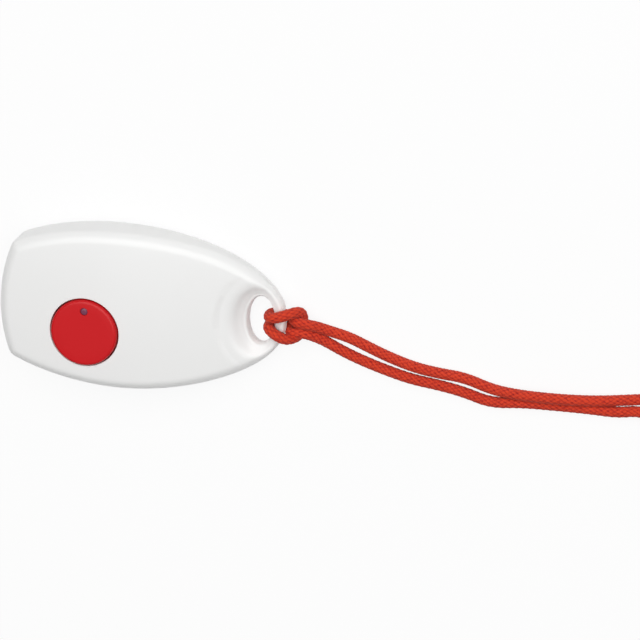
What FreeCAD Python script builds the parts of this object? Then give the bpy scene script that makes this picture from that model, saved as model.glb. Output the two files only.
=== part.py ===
import FreeCAD, Part
import math
import os

# Wireless call button worn on a cord: a white two-part moulding with a round red push button
# off its centre line, a scooped eyelet at its pointed end and a braided neck cord hitched
# through that eyelet. Millimetres. +Z is out of the face, +X runs to the eyelet, and the
# origin is on the flat back, under the middle of the moulding.

V = FreeCAD.Vector
UP = V(0, 0, 1)

# Moulding: overall sizes
LENGTH = 83.3
WIDTH = 47.2
BLUNT_TO_WIDEST = 35.8
NOSE_SEMI_AXIS = LENGTH - BLUNT_TO_WIDEST
END_RADIUS = 47.0
CORNER_RADIUS = 3.6
FACE_HEIGHT = 15.2
BLUNT_HEIGHT = FACE_HEIGHT - 0.5
TIP_HEIGHT = 6.8
BLUNT_END = -LENGTH / 2
FALL_START = BLUNT_END + 25.65
CROWN_RADIUS = 290.0
WALL = 1.8
RIM_RADIUS = 3.2
BACK_EDGE_RADIUS = 1.5
SPLIT_HEIGHT = 4.1
SEAM_CHAMFER = 0.15

# Lip that locates the two halves
LIP_THICKNESS = 0.8
LIP_HEIGHT = 1.2
LIP_CLEARANCE = 0.1

# Eyelet: upright oval hole, scooped face around it and a relief for the cord at the back
EYELET_X = LENGTH / 2 - 7.45
EYELET_SEMI_X = 3.85
EYELET_SEMI_Y = 7.05
EYELET_RIM_HEIGHT = 5.2
EYELET_BACK_WIDTH = 2.0
EYELET_BACK_HEIGHT = 3.2
SCOOP_WIDTH = 5.4
SCOOP_TILT = 7.5
# Scoop's flank from the hole outward, as shares of its width, of its rise and of its tilt
SCOOP_FLANK = (
    (0.0, -0.5, 0.0),
    (0.055, -0.14, 0.0),
    (0.2, 0.06, 0.15),
    (0.45, 0.38, 0.45),
    (0.7, 0.76, 0.75),
    (0.95, 0.99, 0.95),
    (1.45, 1.1, 1.0),
)
RELIEF_HALF_WIDTH = 5.6
RELIEF_HEIGHT = 3.35

# Push button
BUTTON_X = BLUNT_END + 26.15
BUTTON_Y = -6.8
BUTTON_DIAMETER = 20.0
BUTTON_GAP = 0.25
BUTTON_PROUD = 0.65
BUTTON_EDGE_RADIUS = 0.6
BUTTON_WALL = 1.4
BUTTON_TRAVEL = 0.5
FLANGE_WIDTH = 1.0
FLANGE_HEIGHT = 1.1
COLLAR_WALL = 1.2
COLLAR_DEPTH = 4.6
SEAT_CLEARANCE = 0.05
PIPE_OFFSET = 6.5
PIPE_DIAMETER = 2.2
PIPE_LENGTH = 4.6
PIPE_WALL = 0.9
PIPE_END_BARE = 0.6
PIPE_EDGE_RADIUS = 0.3

# Circuit board and what stands on it
BOARD_BOTTOM = 6.4
BOARD_THICKNESS = 1.0
BOARD_INSET = 2.5
BOARD_END = LENGTH / 2 - 32.65
SWITCH_SIDE = 6.0
SWITCH_HEIGHT = 3.4
SWITCH_WALL = 0.5
SWITCH_COVER = 0.3
SWITCH_WELL_DEPTH = 2.0
SWITCH_WELL_MARGIN = 0.3
PLUNGER_DIAMETER = 3.4
PLUNGER_PROUD = 0.8
PLUNGER_CLEARANCE = 0.15
PLUNGER_EDGE_RADIUS = 0.15
PIN_OFFSET = 2.25
PIN_WIDTH = 0.8
PIN_LENGTH = 1.1
PIN_THICKNESS = 0.3
LED_BASE = 1.0
LED_DIAMETER = 2.6
LED_HEIGHT = 2.4
LED_MARGIN = 0.3
LED_FLAT = 0.1
CHIP_X = BOARD_END - 7.0
CHIP_Y = -9.5
CHIP_LENGTH = 4.9
CHIP_WIDTH = 3.9
CHIP_HEIGHT = 1.5
CHIP_STAND = 0.1
CHIP_LEADS = 4
LEAD_PITCH = 1.27
LEAD_WIDTH = 0.45
LEAD_REACH = 1.0
LEAD_ROOT = 0.2
LEAD_THICKNESS = 0.25
RESONATOR_X = BOARD_END - 8.0
RESONATOR_Y = 4.0
RESONATOR_DIAMETER = 8.2
RESONATOR_FLANGE = 0.6
RESONATOR_FLANGE_WIDTH = 0.5
RESONATOR_EDGE_RADIUS = 0.4
RESONATOR_HEIGHT = 2.8
ANTENNA_Y = 14.6
ANTENNA_LEFT = BLUNT_END + 14.65
ANTENNA_RIGHT = BLUNT_END + 35.65
ANTENNA_RISE = 2.6
ANTENNA_WIRE = 0.9
ANTENNA_BEND = 1.8
SMALL_PART_LENGTH = 2.0
SMALL_PART_WIDTH = 1.25
SMALL_PART_HEIGHT = 0.6
SMALL_PART_PITCH = 2.6
SMALL_PART_COUNT = 5
SMALL_PART_LEFT = BLUNT_END + 20.65
SMALL_PART_Y = 8.7

# Coin cell and its round door in the back
CELL_X = BLUNT_END + 29.65
CELL_Y = 0.0
CELL_DIAMETER = 20.0
CELL_THICKNESS = 3.2
CELL_CAP_STEP = 0.5
CELL_CAP_MARGIN = 1.4
CELL_EDGE_RADIUS = 0.35
CELL_CLEARANCE = 0.15
DOOR_FLANGE = 0.75
DOOR_BASE = 1.5
DOOR_WALL = 0.85
DOOR_CUP_HEIGHT = 4.0
DOOR_LEDGE = 1.1
DOOR_CLEARANCE = 0.2
LUG_REACH = 1.2
LUG_THICKNESS = 0.8
LUG_ANGLE = 24.0
LUG_COUNT = 3
UNLOCK_ANGLE = 45.0
COIN_SLOT_LENGTH = 14.0
COIN_SLOT_WIDTH = 1.8
COIN_SLOT_DEPTH = 0.8
CONTACT_THICKNESS = 0.2
CONTACT_WIDTH = 3.0
CONTACT_FOOT = 2.4
CONTACT_SLOPE = 4.0
CONTACT_FLAT = 1.3
CONTACT_TONGUE = 1.8
CLIP_FOOT = 3.2
CLIP_GAP = 0.02
CLIP_RISE = 0.15

# Screws that clamp the halves, two of them through the board
SCREW_FROM_END = 10.65
SCREW_ASIDE = 11.5
SCREW_FROM_TIP = 28.45
SCREW_DIAMETER = 2.0
SCREW_HEAD_DIAMETER = 3.8
SCREW_HEAD_HEIGHT = 1.4
SCREW_SEAT = 2.2
SCREW_LENGTH = 6.6
SCREW_CROSS = 2.2
SCREW_CROSS_WIDTH = 0.5
COLUMN_RADIUS = 3.0
POST_RADIUS = 2.6
SCREW_CLEARANCE = 0.15
SCREW_HEAD_EDGE = 0.45
SCREW_TIP_CHAMFER = 0.4
PILOT_CLEARANCE = 0.02
PILOT_RELIEF = 0.3

# Neck cord: braided, its two strands hitched through the eyelet
CORD_DIAMETER = 3.0
COIL_MEAN_RADIUS = 17.0
COIL_COLUMNS = 2
COIL_LAYERS = 3
COIL_EDGE_RADIUS = 1.2
COIL_LEAD = 10.7
TIE_WIDTH = 3.0
TIE_THICKNESS = 0.4
KNOT_LENGTH = 11.0
KNOT_WIDTH = 10.0
KNOT_HEIGHT = 6.4
KNOT_LEAD = 5.5

# Chosen points of the strand that runs to the coil, from under the middle of the hitch
LONG_ROUTE = (
    (45.75, -0.7, 1.55),
    (45.75, 1.9, 1.55),
    (45.0, 3.6, 3.9),
    (42.9, 3.4, 6.8),
    (39.7, 2.2, 7.6),
    (37.15, 1.6, 6.8),
    (36.3, 1.56, 4.2),
    (36.8, 1.56, 1.75),
    (40.0, 1.5, 1.5),
    (42.7, 1.2, 1.75),
    (44.2, 0.95, 4.6),
    (47.5, 0.5, 5.2),
    (50.2, -0.4, 3.5),
    (53.1, -1.55, 1.6),
    (59.6, -3.1, 1.5),
    (64.8, -5.1, 1.5),
    (70.9, -7.4, 1.5),
    (79.0, -9.7, 1.5),
    (86.5, -10.6, 1.5),
    (94.0, -10.9, 1.5),
    (102.0, -13.4, 1.5),
    (109.0, -13.6, 2.7),
    (117.0, -13.45, 3.2),
    (127.0, -12.95, 3.2),
    (135.0, -12.4, 2.2),
    (142.0, -11.4, 1.5),
    (150.0, -10.0, 1.5),
    (159.6, -6.8, 1.5),
    (170.3, -5.0, 1.5),
)

# Chosen points of the strand that runs straight to the knot
SHORT_ROUTE = (
    (45.75, -0.7, 1.55),
    (45.75, -3.2, 1.55),
    (44.2, -4.8, 3.7),
    (42.1, -4.5, 6.6),
    (39.4, -3.1, 7.6),
    (37.15, -1.8, 6.8),
    (36.3, -1.56, 4.2),
    (36.8, -1.56, 1.75),
    (40.0, -1.5, 1.5),
    (42.8, -1.65, 1.6),
    (44.25, -2.1, 4.5),
    (47.5, -2.5, 4.6),
    (50.2, -3.9, 3.0),
    (53.0, -5.7, 1.55),
    (57.8, -7.5, 1.5),
    (63.4, -9.5, 1.5),
    (70.5, -11.55, 1.5),
    (78.5, -13.4, 1.5),
    (86.5, -14.1, 1.5),
    (94.0, -15.25, 1.5),
    (102.0, -17.5, 1.5),
    (111.0, -16.2, 1.5),
    (121.0, -15.8, 1.5),
    (131.0, -15.5, 1.5),
    (139.0, -15.6, 1.5),
    (145.5, -14.1, 1.5),
    (150.2, -14.9, 1.5),
)

# Chosen points from the coil's side to the knot
RETURN_ROUTE = (
    (160.35, -29.0, 6.4),
    (159.6, -24.6, 5.6),
    (158.5, -19.6, 4.4),
)

# Values that follow from the sizes above
NOSE_X = LENGTH / 2 - NOSE_SEMI_AXIS
END_X = END_RADIUS - LENGTH / 2
HALF_WIDTH = WIDTH / 2
BUTTON_RADIUS = BUTTON_DIAMETER / 2
BOARD_TOP = BOARD_BOTTOM + BOARD_THICKNESS
SWITCH_TOP = BOARD_TOP + SWITCH_HEIGHT
PLUNGER_TOP = SWITCH_TOP + PLUNGER_PROUD
CELL_RADIUS = CELL_DIAMETER / 2
CELL_BOTTOM = DOOR_BASE + SEAT_CLEARANCE
CELL_TOP = CELL_BOTTOM + CELL_THICKNESS
DOOR_NECK_RADIUS = CELL_RADIUS + CELL_CLEARANCE + DOOR_WALL
LEDGE_RADIUS = DOOR_NECK_RADIUS + DOOR_CLEARANCE
CORD_RADIUS = CORD_DIAMETER / 2
SCREW_PLACES = (
    (BLUNT_END + SCREW_FROM_END, SCREW_ASIDE),
    (BLUNT_END + SCREW_FROM_END, -SCREW_ASIDE),
    (LENGTH / 2 - SCREW_FROM_TIP, 0.0),
)
COIL_HALF_ACROSS = COIL_COLUMNS * CORD_RADIUS
COIL_HEIGHT = COIL_LAYERS * CORD_DIAMETER
COIL_CENTRE = V(LONG_ROUTE[-1][0] + COIL_LEAD, LONG_ROUTE[-1][1] - COIL_MEAN_RADIUS - CORD_RADIUS, 0)
KNOT_CENTRE = V(SHORT_ROUTE[-1][0] + KNOT_LEAD, SHORT_ROUTE[-1][1], KNOT_HEIGHT / 2)


def disc(radius, z_low, z_high, x=0.0, y=0.0):
    return Part.makeCylinder(radius, z_high - z_low, V(x, y, z_low), UP)


def ring(radius_out, radius_in, z_low, z_high, x=0.0, y=0.0):
    return disc(radius_out, z_low, z_high, x, y).cut(disc(radius_in, z_low, z_high, x, y))


def block(x_low, x_high, y_low, y_high, z_low, z_high):
    size = V(x_high - x_low, y_high - y_low, z_high - z_low)
    return Part.makeBox(size.x, size.y, size.z, V(x_low, y_low, z_low))


def plan_prism(inset, z_low, z_high):
    """Plan of the moulding drawn in by inset: an ellipse cut by the blunt end's arc."""
    oval = Part.Ellipse(V(NOSE_X, 0, z_low), NOSE_SEMI_AXIS - inset, HALF_WIDTH - inset)
    oval_face = Part.Face(Part.Wire([oval.toShape()]))
    end_face = Part.Face(Part.Wire([Part.makeCircle(END_RADIUS - inset, V(END_X, 0, z_low), UP)]))
    prism = oval_face.common(end_face).Faces[0].extrude(V(0, 0, z_high - z_low))
    corners = [edge for edge in prism.Edges if is_corner(edge)]
    return prism.makeFillet(max(CORNER_RADIUS - inset, 0.5), corners)


def is_corner(edge):
    """The two upright edges where the blunt end meets the long sides."""
    box = edge.BoundBox
    upright = box.XLength < 1e-4 and box.YLength < 1e-4
    return upright and box.XMin < NOSE_X


def face_height(x):
    """Height of the face along the centre line: level over the button, then falling to the tip."""
    fall = min(max((x - FALL_START) / (LENGTH / 2 - FALL_START), 0.0), 1.0)
    eased = (3 * fall ** 2 - 2 * fall ** 3) ** 1.3
    back = max((FALL_START - x) / (FALL_START + LENGTH / 2), 0.0)
    return FACE_HEIGHT - (FACE_HEIGHT - TIP_HEIGHT) * eased - (FACE_HEIGHT - BLUNT_HEIGHT) * back ** 2


def envelope(drop):
    """All that lies under the crowned face, with the face lowered by drop."""
    reach = WIDTH * 0.6
    sag = reach ** 2 / (2 * CROWN_RADIUS)
    base = -WALL
    margin = 4.0
    count = 11
    sections = []
    for index in range(count):
        x = -LENGTH / 2 - margin + (LENGTH + 2 * margin) * index / (count - 1)
        top = face_height(x) - drop
        left = V(x, -reach, top - sag)
        right = V(x, reach, top - sag)
        low_right = V(x, reach, base)
        low_left = V(x, -reach, base)
        sections.append(Part.Wire([
            Part.Arc(left, V(x, 0, top), right).toShape(),
            Part.makeLine(right, low_right),
            Part.makeLine(low_right, low_left),
            Part.makeLine(low_left, left),
        ]))
    return Part.makeLoft(sections, True, False)


def outer_form():
    """The closed outside of the moulding, both halves together, before it is opened."""
    form = plan_prism(0.0, 0.0, FACE_HEIGHT + 2).common(envelope(0.0))
    rim = [edge for edge in form.Edges if is_rim(edge)]
    form = form.makeFillet(RIM_RADIUS, rim)
    base = [edge for edge in form.Edges if edge.BoundBox.ZMax < 1e-4]
    return form.makeFillet(BACK_EDGE_RADIUS, base)


def is_rim(edge):
    """An edge between the face and the sides: high up and not upright."""
    box = edge.BoundBox
    return box.ZMin > SPLIT_HEIGHT and box.XLength + box.YLength > 0.5


def eyelet_oval(grow, z, tilt):
    """Outline parallel to the eyelet hole, grown and tilted down toward the tip."""
    oval = Part.Ellipse(V(0, 0, 0), EYELET_SEMI_Y + grow, EYELET_SEMI_X + grow).toShape()
    oval.rotate(V(0, 0, 0), UP, 90)
    oval.rotate(V(0, 0, 0), V(0, 1, 0), tilt)
    oval.translate(V(EYELET_X, 0, z))
    return Part.Wire([oval])


def eyelet_column(grow, z_low, z_high):
    return Part.Face(eyelet_oval(grow, z_low, 0.0)).extrude(V(0, 0, z_high - z_low))


def eyelet_cutter():
    """The upright hole and the scoop that flares from its rim out into the face."""
    rim = EYELET_RIM_HEIGHT
    face = face_height(EYELET_X)
    rise = face - rim
    ovals = [eyelet_oval(share * SCOOP_WIDTH, rim + lift * rise, turn * SCOOP_TILT)
             for share, lift, turn in SCOOP_FLANK]
    scoop = Part.makeLoft(ovals, True, False)
    column = eyelet_column(0.0, -WALL, rim + SCOOP_FLANK[0][1] * rise)
    return scoop.fuse(column).fuse(eyelet_back())


def eyelet_back():
    """The hole's back edge, rounded away so that it doesn't chafe the cord."""
    ovals = []
    for angle in (0, 20, 40, 65, 90):
        turn = math.radians(angle)
        grow = EYELET_BACK_WIDTH * (1 - math.sin(turn))
        ovals.append(eyelet_oval(grow, EYELET_BACK_HEIGHT * (1 - math.cos(turn)), 0.0))
    return Part.makeLoft(ovals, True, False)


def cord_relief():
    """Arched channel across the back of the tip, so that the cord passes under the eyelet's bar."""
    section = Part.Ellipse(V(0, 0, 0), RELIEF_HALF_WIDTH, RELIEF_HEIGHT).toShape()
    section.rotate(V(0, 0, 0), UP, 90)
    section.rotate(V(0, 0, 0), V(0, 1, 0), 90)
    section.translate(V(EYELET_X, 0, 0))
    return Part.Face(Part.Wire([section])).extrude(V(LENGTH, 0, 0))


def solid_end(grow, z_low, z_high):
    """The zone round the eyelet where the moulding is solid."""
    return eyelet_column(SCOOP_WIDTH + WALL + grow, z_low, z_high)


def cavity():
    inside = plan_prism(WALL, WALL, FACE_HEIGHT).common(envelope(WALL))
    rim = [edge for edge in inside.Edges if is_rim(edge)]
    return inside.makeFillet(RIM_RADIUS - WALL, rim).cut(solid_end(0.0, 0.0, FACE_HEIGHT))


def front_shell(form, hollow):
    """Front moulding: face, rim and sides, with the button's collar and the screw posts inside."""
    bounds = form.BoundBox
    upper = block(bounds.XMin - 1, bounds.XMax + 1, bounds.YMin - 1, bounds.YMax + 1,
                  SPLIT_HEIGHT, bounds.ZMax + 1)
    skin = form.common(upper)
    collar_radius = BUTTON_RADIUS + BUTTON_GAP + COLLAR_WALL
    collar_low = FACE_HEIGHT - COLLAR_DEPTH
    inner = hollow.cut(disc(collar_radius, collar_low, FACE_HEIGHT, BUTTON_X, BUTTON_Y))
    for x, y in SCREW_PLACES:
        low = BOARD_TOP if x < BOARD_END else BOARD_BOTTOM
        inner = inner.cut(disc(POST_RADIUS, low, FACE_HEIGHT, x, y))
    shell = skin.cut(inner)
    shell = shell.cut(disc(BUTTON_RADIUS + BUTTON_GAP, 0, FACE_HEIGHT + 1, BUTTON_X, BUTTON_Y))
    rebate_inset = WALL - LIP_THICKNESS - LIP_CLEARANCE
    rebate = plan_prism(rebate_inset, SPLIT_HEIGHT - 1, SPLIT_HEIGHT + LIP_HEIGHT + LIP_CLEARANCE)
    shell = shell.cut(rebate.cut(solid_end(-LIP_CLEARANCE, 0.0, FACE_HEIGHT)))
    for x, y in SCREW_PLACES:
        pilot_top = SCREW_SEAT + SCREW_LENGTH + PILOT_RELIEF
        pilot = disc(SCREW_DIAMETER / 2 + PILOT_CLEARANCE, SPLIT_HEIGHT, pilot_top, x, y)
        shell = shell.cut(pilot)
    shell = main_body(shell.cut(eyelet_cutter()).cut(cord_relief()))
    return chamfer_seam(shell, SPLIT_HEIGHT)


def main_body(shape):
    """The largest solid, without the scraps that the scoop can leave beside the seam's rebate."""
    return max(shape.Solids, key=lambda solid: solid.Volume)


def back_shell(form, hollow):
    """Back moulding: flat back with the door's opening, the lip and the screw columns."""
    bounds = form.BoundBox
    lower = block(bounds.XMin - 1, bounds.XMax + 1, bounds.YMin - 1, bounds.YMax + 1,
                  -1, SPLIT_HEIGHT)
    shell = form.common(lower).cut(hollow)
    lip_top = SPLIT_HEIGHT + LIP_HEIGHT
    lip = plan_prism(WALL - LIP_THICKNESS, SPLIT_HEIGHT - 0.5, lip_top)
    lip = lip.cut(plan_prism(WALL, SPLIT_HEIGHT - 1, lip_top + 1)).cut(solid_end(0.0, 0.0, FACE_HEIGHT))
    shell = shell.fuse(lip)
    for x, y in SCREW_PLACES:
        shell = shell.fuse(disc(COLUMN_RADIUS, BACK_EDGE_RADIUS, BOARD_BOTTOM, x, y))
    for x, y in SCREW_PLACES:
        shell = shell.cut(disc(SCREW_HEAD_DIAMETER / 2 + SCREW_CLEARANCE, -1, SCREW_SEAT, x, y))
        shell = shell.cut(disc(SCREW_DIAMETER / 2 + SCREW_CLEARANCE, 0, BOARD_BOTTOM + 1, x, y))
    shell = shell.cut(door_opening())
    shell = shell.cut(eyelet_cutter()).cut(cord_relief())
    return chamfer_seam(shell.removeSplitter(), SPLIT_HEIGHT)


def chamfer_seam(shell, height):
    """Breaks the outer edge at the seam, so that the joint shows as a fine line."""
    margin = 2.0
    edges = []
    for edge in shell.Edges:
        box = edge.BoundBox
        level = abs(box.ZMin - height) < 1e-3 and abs(box.ZMax - height) < 1e-3
        if level and is_outline(edge) and edge.Length > margin:
            edges.append(edge)
    return shell.makeChamfer(SEAM_CHAMFER, edges)


def is_outline(edge):
    """True where every sample of the edge lies on the plan outline."""
    first, last = edge.ParameterRange
    for step in range(1, 6):
        point = edge.valueAt(first + (last - first) * step / 6)
        on_oval = abs(math.hypot((point.x - NOSE_X) / NOSE_SEMI_AXIS, point.y / HALF_WIDTH) - 1) < 2e-3
        on_end = abs(math.hypot(point.x - END_X, point.y) - END_RADIUS) < 2e-2
        if not (on_oval or on_end):
            return False
    return True


def wedge(radius, angle_from, angle_to, z_low, z_high):
    """A sector of a disc about the cell's axis."""
    sector = Part.makeCylinder(radius, z_high - z_low, V(0, 0, z_low), UP, angle_to - angle_from)
    sector.rotate(V(0, 0, 0), UP, angle_from)
    sector.translate(V(CELL_X, CELL_Y, 0))
    return sector


def door_opening():
    """Stepped round opening, with notches that let the door's lugs through when it is turned."""
    flange_radius = LEDGE_RADIUS + DOOR_LEDGE
    cut = disc(flange_radius, -1, DOOR_FLANGE + SEAT_CLEARANCE, CELL_X, CELL_Y)
    cut = cut.fuse(disc(LEDGE_RADIUS, -1, WALL + 1, CELL_X, CELL_Y))
    for index in range(LUG_COUNT):
        middle = index * 360 / LUG_COUNT + UNLOCK_ANGLE
        half = LUG_ANGLE / 2 + 2
        reach = DOOR_NECK_RADIUS + LUG_REACH + DOOR_CLEARANCE
        cut = cut.fuse(wedge(reach, middle - half, middle + half, -1, WALL + 1))
    return cut


def battery_door():
    """Round door with a coin slot: a flange flush with the back, a cup for the cell and three lugs."""
    outer = LEDGE_RADIUS + DOOR_LEDGE - DOOR_CLEARANCE
    door = disc(outer, 0, DOOR_FLANGE, CELL_X, CELL_Y)
    door = door.fuse(disc(DOOR_NECK_RADIUS, 0, DOOR_CUP_HEIGHT, CELL_X, CELL_Y))
    lug_low = WALL + DOOR_CLEARANCE
    for index in range(LUG_COUNT):
        middle = index * 360 / LUG_COUNT
        lug = wedge(DOOR_NECK_RADIUS + LUG_REACH, middle - LUG_ANGLE / 2, middle + LUG_ANGLE / 2,
                    lug_low, lug_low + LUG_THICKNESS)
        door = door.fuse(lug)
    door = door.cut(disc(CELL_RADIUS + CELL_CLEARANCE, DOOR_BASE, DOOR_CUP_HEIGHT + 1, CELL_X, CELL_Y))
    half = COIN_SLOT_LENGTH / 2
    slot = block(CELL_X - half, CELL_X + half, CELL_Y - COIN_SLOT_WIDTH / 2,
                 CELL_Y + COIN_SLOT_WIDTH / 2, -1, COIN_SLOT_DEPTH)
    ends = [edge for edge in slot.Edges if edge.BoundBox.ZLength > 1]
    slot = slot.makeFillet(COIN_SLOT_WIDTH / 2 - 0.05, ends)
    return door.cut(slot).removeSplitter()


def coin_cell():
    """Coin cell: the wide can with its rolled edge, and the smaller cap facing the board."""
    step = CELL_CAP_STEP
    can = disc(CELL_RADIUS, CELL_BOTTOM, CELL_TOP - step, CELL_X, CELL_Y)
    can = can.makeFillet(CELL_EDGE_RADIUS, [edge for edge in can.Edges if edge.BoundBox.ZLength < 1e-4])
    cap = disc(CELL_RADIUS - CELL_CAP_MARGIN, CELL_BOTTOM + step, CELL_TOP, CELL_X, CELL_Y)
    return can.fuse(cap).removeSplitter()


def button_cap():
    """Red cap: flat disc with a soft edge, a skirt with a flange that stops it, and a centre post."""
    top = face_height(BUTTON_X) + BUTTON_PROUD
    collar_low = FACE_HEIGHT - COLLAR_DEPTH
    flange_top = collar_low - SEAT_CLEARANCE
    flange_low = flange_top - FLANGE_HEIGHT
    inner_radius = BUTTON_RADIUS - BUTTON_WALL
    cap = disc(BUTTON_RADIUS, flange_low, top, BUTTON_X, BUTTON_Y)
    rim = [edge for edge in cap.Edges if edge.BoundBox.ZMin > top - 1e-3]
    cap = cap.makeFillet(BUTTON_EDGE_RADIUS, rim)
    cap = cap.fuse(disc(BUTTON_RADIUS + FLANGE_WIDTH, flange_low, flange_top, BUTTON_X, BUTTON_Y))
    under = top - BUTTON_WALL
    room = disc(inner_radius, flange_low - 1, under, BUTTON_X, BUTTON_Y)
    room = room.cut(disc(PLUNGER_DIAMETER / 2, PLUNGER_TOP, under, BUTTON_X, BUTTON_Y))
    pipe_y = BUTTON_Y + PIPE_OFFSET
    sleeve_low = top - PIPE_LENGTH + PIPE_END_BARE
    room = room.cut(disc(PIPE_DIAMETER / 2 + PIPE_WALL, sleeve_low, under, BUTTON_X, pipe_y))
    cap = cap.cut(room)
    return cap.cut(disc(PIPE_DIAMETER / 2, flange_low, top + 1, BUTTON_X, pipe_y))


def light_pipe():
    """Clear rod that brings the lamp's light to the button's face, with a domed end."""
    top = face_height(BUTTON_X) + BUTTON_PROUD
    pipe = disc(PIPE_DIAMETER / 2, top - PIPE_LENGTH, top, BUTTON_X, BUTTON_Y + PIPE_OFFSET)
    return pipe.makeFillet(PIPE_EDGE_RADIUS, [edge for edge in pipe.Edges if edge.BoundBox.ZMin > top - 1e-3])


def switch_body():
    """Tact switch: square base, open at the top for its plunger, on four bent pins."""
    half = SWITCH_SIDE / 2
    cover_low = SWITCH_TOP - SWITCH_COVER
    body = block(BUTTON_X - half, BUTTON_X + half, BUTTON_Y - half, BUTTON_Y + half,
                 BOARD_TOP, cover_low)
    well = PLUNGER_DIAMETER / 2 + PLUNGER_CLEARANCE + SWITCH_WELL_MARGIN
    return body.cut(disc(well, SWITCH_TOP - SWITCH_WELL_DEPTH, cover_low + 1, BUTTON_X, BUTTON_Y))


def switch_cover():
    """Steel plate over the switch, with the round hole for its plunger."""
    half = SWITCH_SIDE / 2
    plate = block(BUTTON_X - half, BUTTON_X + half, BUTTON_Y - half, BUTTON_Y + half,
                  SWITCH_TOP - SWITCH_COVER, SWITCH_TOP)
    hole = disc(PLUNGER_DIAMETER / 2 + PLUNGER_CLEARANCE, 0, FACE_HEIGHT, BUTTON_X, BUTTON_Y)
    return plate.cut(hole)


def switch_pins():
    """The switch's four flat pins, which lie on the board beside its base."""
    half = SWITCH_SIDE / 2
    pins = []
    for side in (-1, 1):
        for end in (-1, 1):
            x = BUTTON_X + end * PIN_OFFSET
            y_near = BUTTON_Y + side * half
            y_far = y_near + side * PIN_LENGTH
            pins.append(block(x - PIN_WIDTH / 2, x + PIN_WIDTH / 2, min(y_near, y_far), max(y_near, y_far),
                              BOARD_TOP, BOARD_TOP + PIN_THICKNESS))
    return Part.makeCompound(pins)


def switch_plunger():
    """Round plunger that the cap's post presses; its foot runs in the switch's well."""
    low = SWITCH_TOP - SWITCH_WELL_DEPTH + BUTTON_TRAVEL + SEAT_CLEARANCE
    stem = disc(PLUNGER_DIAMETER / 2, low, PLUNGER_TOP, BUTTON_X, BUTTON_Y)
    return stem.makeFillet(PLUNGER_EDGE_RADIUS, [edge for edge in stem.Edges if edge.BoundBox.ZMax < low + 1e-3])


def circuit_board():
    """Board with the moulding's own outline, cut short of the solid end and drilled for two screws."""
    board = plan_prism(BOARD_INSET, BOARD_BOTTOM, BOARD_TOP)
    board = board.common(block(-LENGTH, BOARD_END, -WIDTH, WIDTH, 0, FACE_HEIGHT))
    for x, y in SCREW_PLACES:
        if x < BOARD_END:
            board = board.cut(disc(SCREW_DIAMETER / 2 + SCREW_CLEARANCE, 0, FACE_HEIGHT, x, y))
    return board


def status_lamp():
    """Small lamp under the light pipe: a flat base and a domed lens."""
    y = BUTTON_Y + PIPE_OFFSET
    half = LED_DIAMETER / 2 + LED_MARGIN
    base = block(BUTTON_X - half, BUTTON_X + half, y - half, y + half, BOARD_TOP, BOARD_TOP + LED_BASE)
    top = BOARD_TOP + LED_HEIGHT
    lens = disc(LED_DIAMETER / 2, BOARD_TOP, top, BUTTON_X, y)
    rim = [edge for edge in lens.Edges if edge.BoundBox.ZMin > top - 1e-3]
    lens = lens.makeFillet(LED_DIAMETER / 2 - LED_FLAT, rim)
    return base.fuse(lens)


def encoder_chip():
    """Small flat chip with a row of leads on each long side."""
    chip = block(CHIP_X - CHIP_LENGTH / 2, CHIP_X + CHIP_LENGTH / 2, CHIP_Y - CHIP_WIDTH / 2,
                 CHIP_Y + CHIP_WIDTH / 2, BOARD_TOP + CHIP_STAND, BOARD_TOP + CHIP_HEIGHT)
    for side in (-1, 1):
        for index in range(CHIP_LEADS):
            x = CHIP_X + (index - (CHIP_LEADS - 1) / 2) * LEAD_PITCH
            y_near = CHIP_Y + side * (CHIP_WIDTH / 2 - LEAD_ROOT)
            y_far = CHIP_Y + side * (CHIP_WIDTH / 2 + LEAD_REACH)
            chip = chip.fuse(block(x - LEAD_WIDTH / 2, x + LEAD_WIDTH / 2, min(y_near, y_far),
                                   max(y_near, y_far), BOARD_TOP, BOARD_TOP + LEAD_THICKNESS))
    return chip


def resonator():
    """Round metal can of the frequency resonator, on its flange."""
    flange = disc(RESONATOR_DIAMETER / 2, BOARD_TOP, BOARD_TOP + RESONATOR_FLANGE, RESONATOR_X, RESONATOR_Y)
    top = BOARD_TOP + RESONATOR_HEIGHT
    can = disc(RESONATOR_DIAMETER / 2 - RESONATOR_FLANGE_WIDTH, BOARD_TOP, top, RESONATOR_X, RESONATOR_Y)
    can = can.makeFillet(RESONATOR_EDGE_RADIUS, [edge for edge in can.Edges if edge.BoundBox.ZMin > top - 1e-3])
    return flange.fuse(can).removeSplitter()


def antenna_wire():
    """Antenna: a stiff wire staple that stands on the board along the far side."""
    low = BOARD_TOP
    high = BOARD_TOP + ANTENNA_RISE
    bend = ANTENNA_BEND
    y = ANTENNA_Y
    corner = bend * (1 - math.sqrt(0.5))
    left = ANTENNA_LEFT
    right = ANTENNA_RIGHT
    spine = Part.Wire([
        Part.makeLine(V(left, y, low), V(left, y, high - bend)),
        Part.Arc(V(left, y, high - bend), V(left + corner, y, high - corner), V(left + bend, y, high)).toShape(),
        Part.makeLine(V(left + bend, y, high), V(right - bend, y, high)),
        Part.Arc(V(right - bend, y, high), V(right - corner, y, high - corner), V(right, y, high - bend)).toShape(),
        Part.makeLine(V(right, y, high - bend), V(right, y, low)),
    ])
    section = Part.Wire([Part.makeCircle(ANTENNA_WIRE / 2, V(left, y, low), UP)])
    return spine.makePipeShell([section], True, False)


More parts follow.
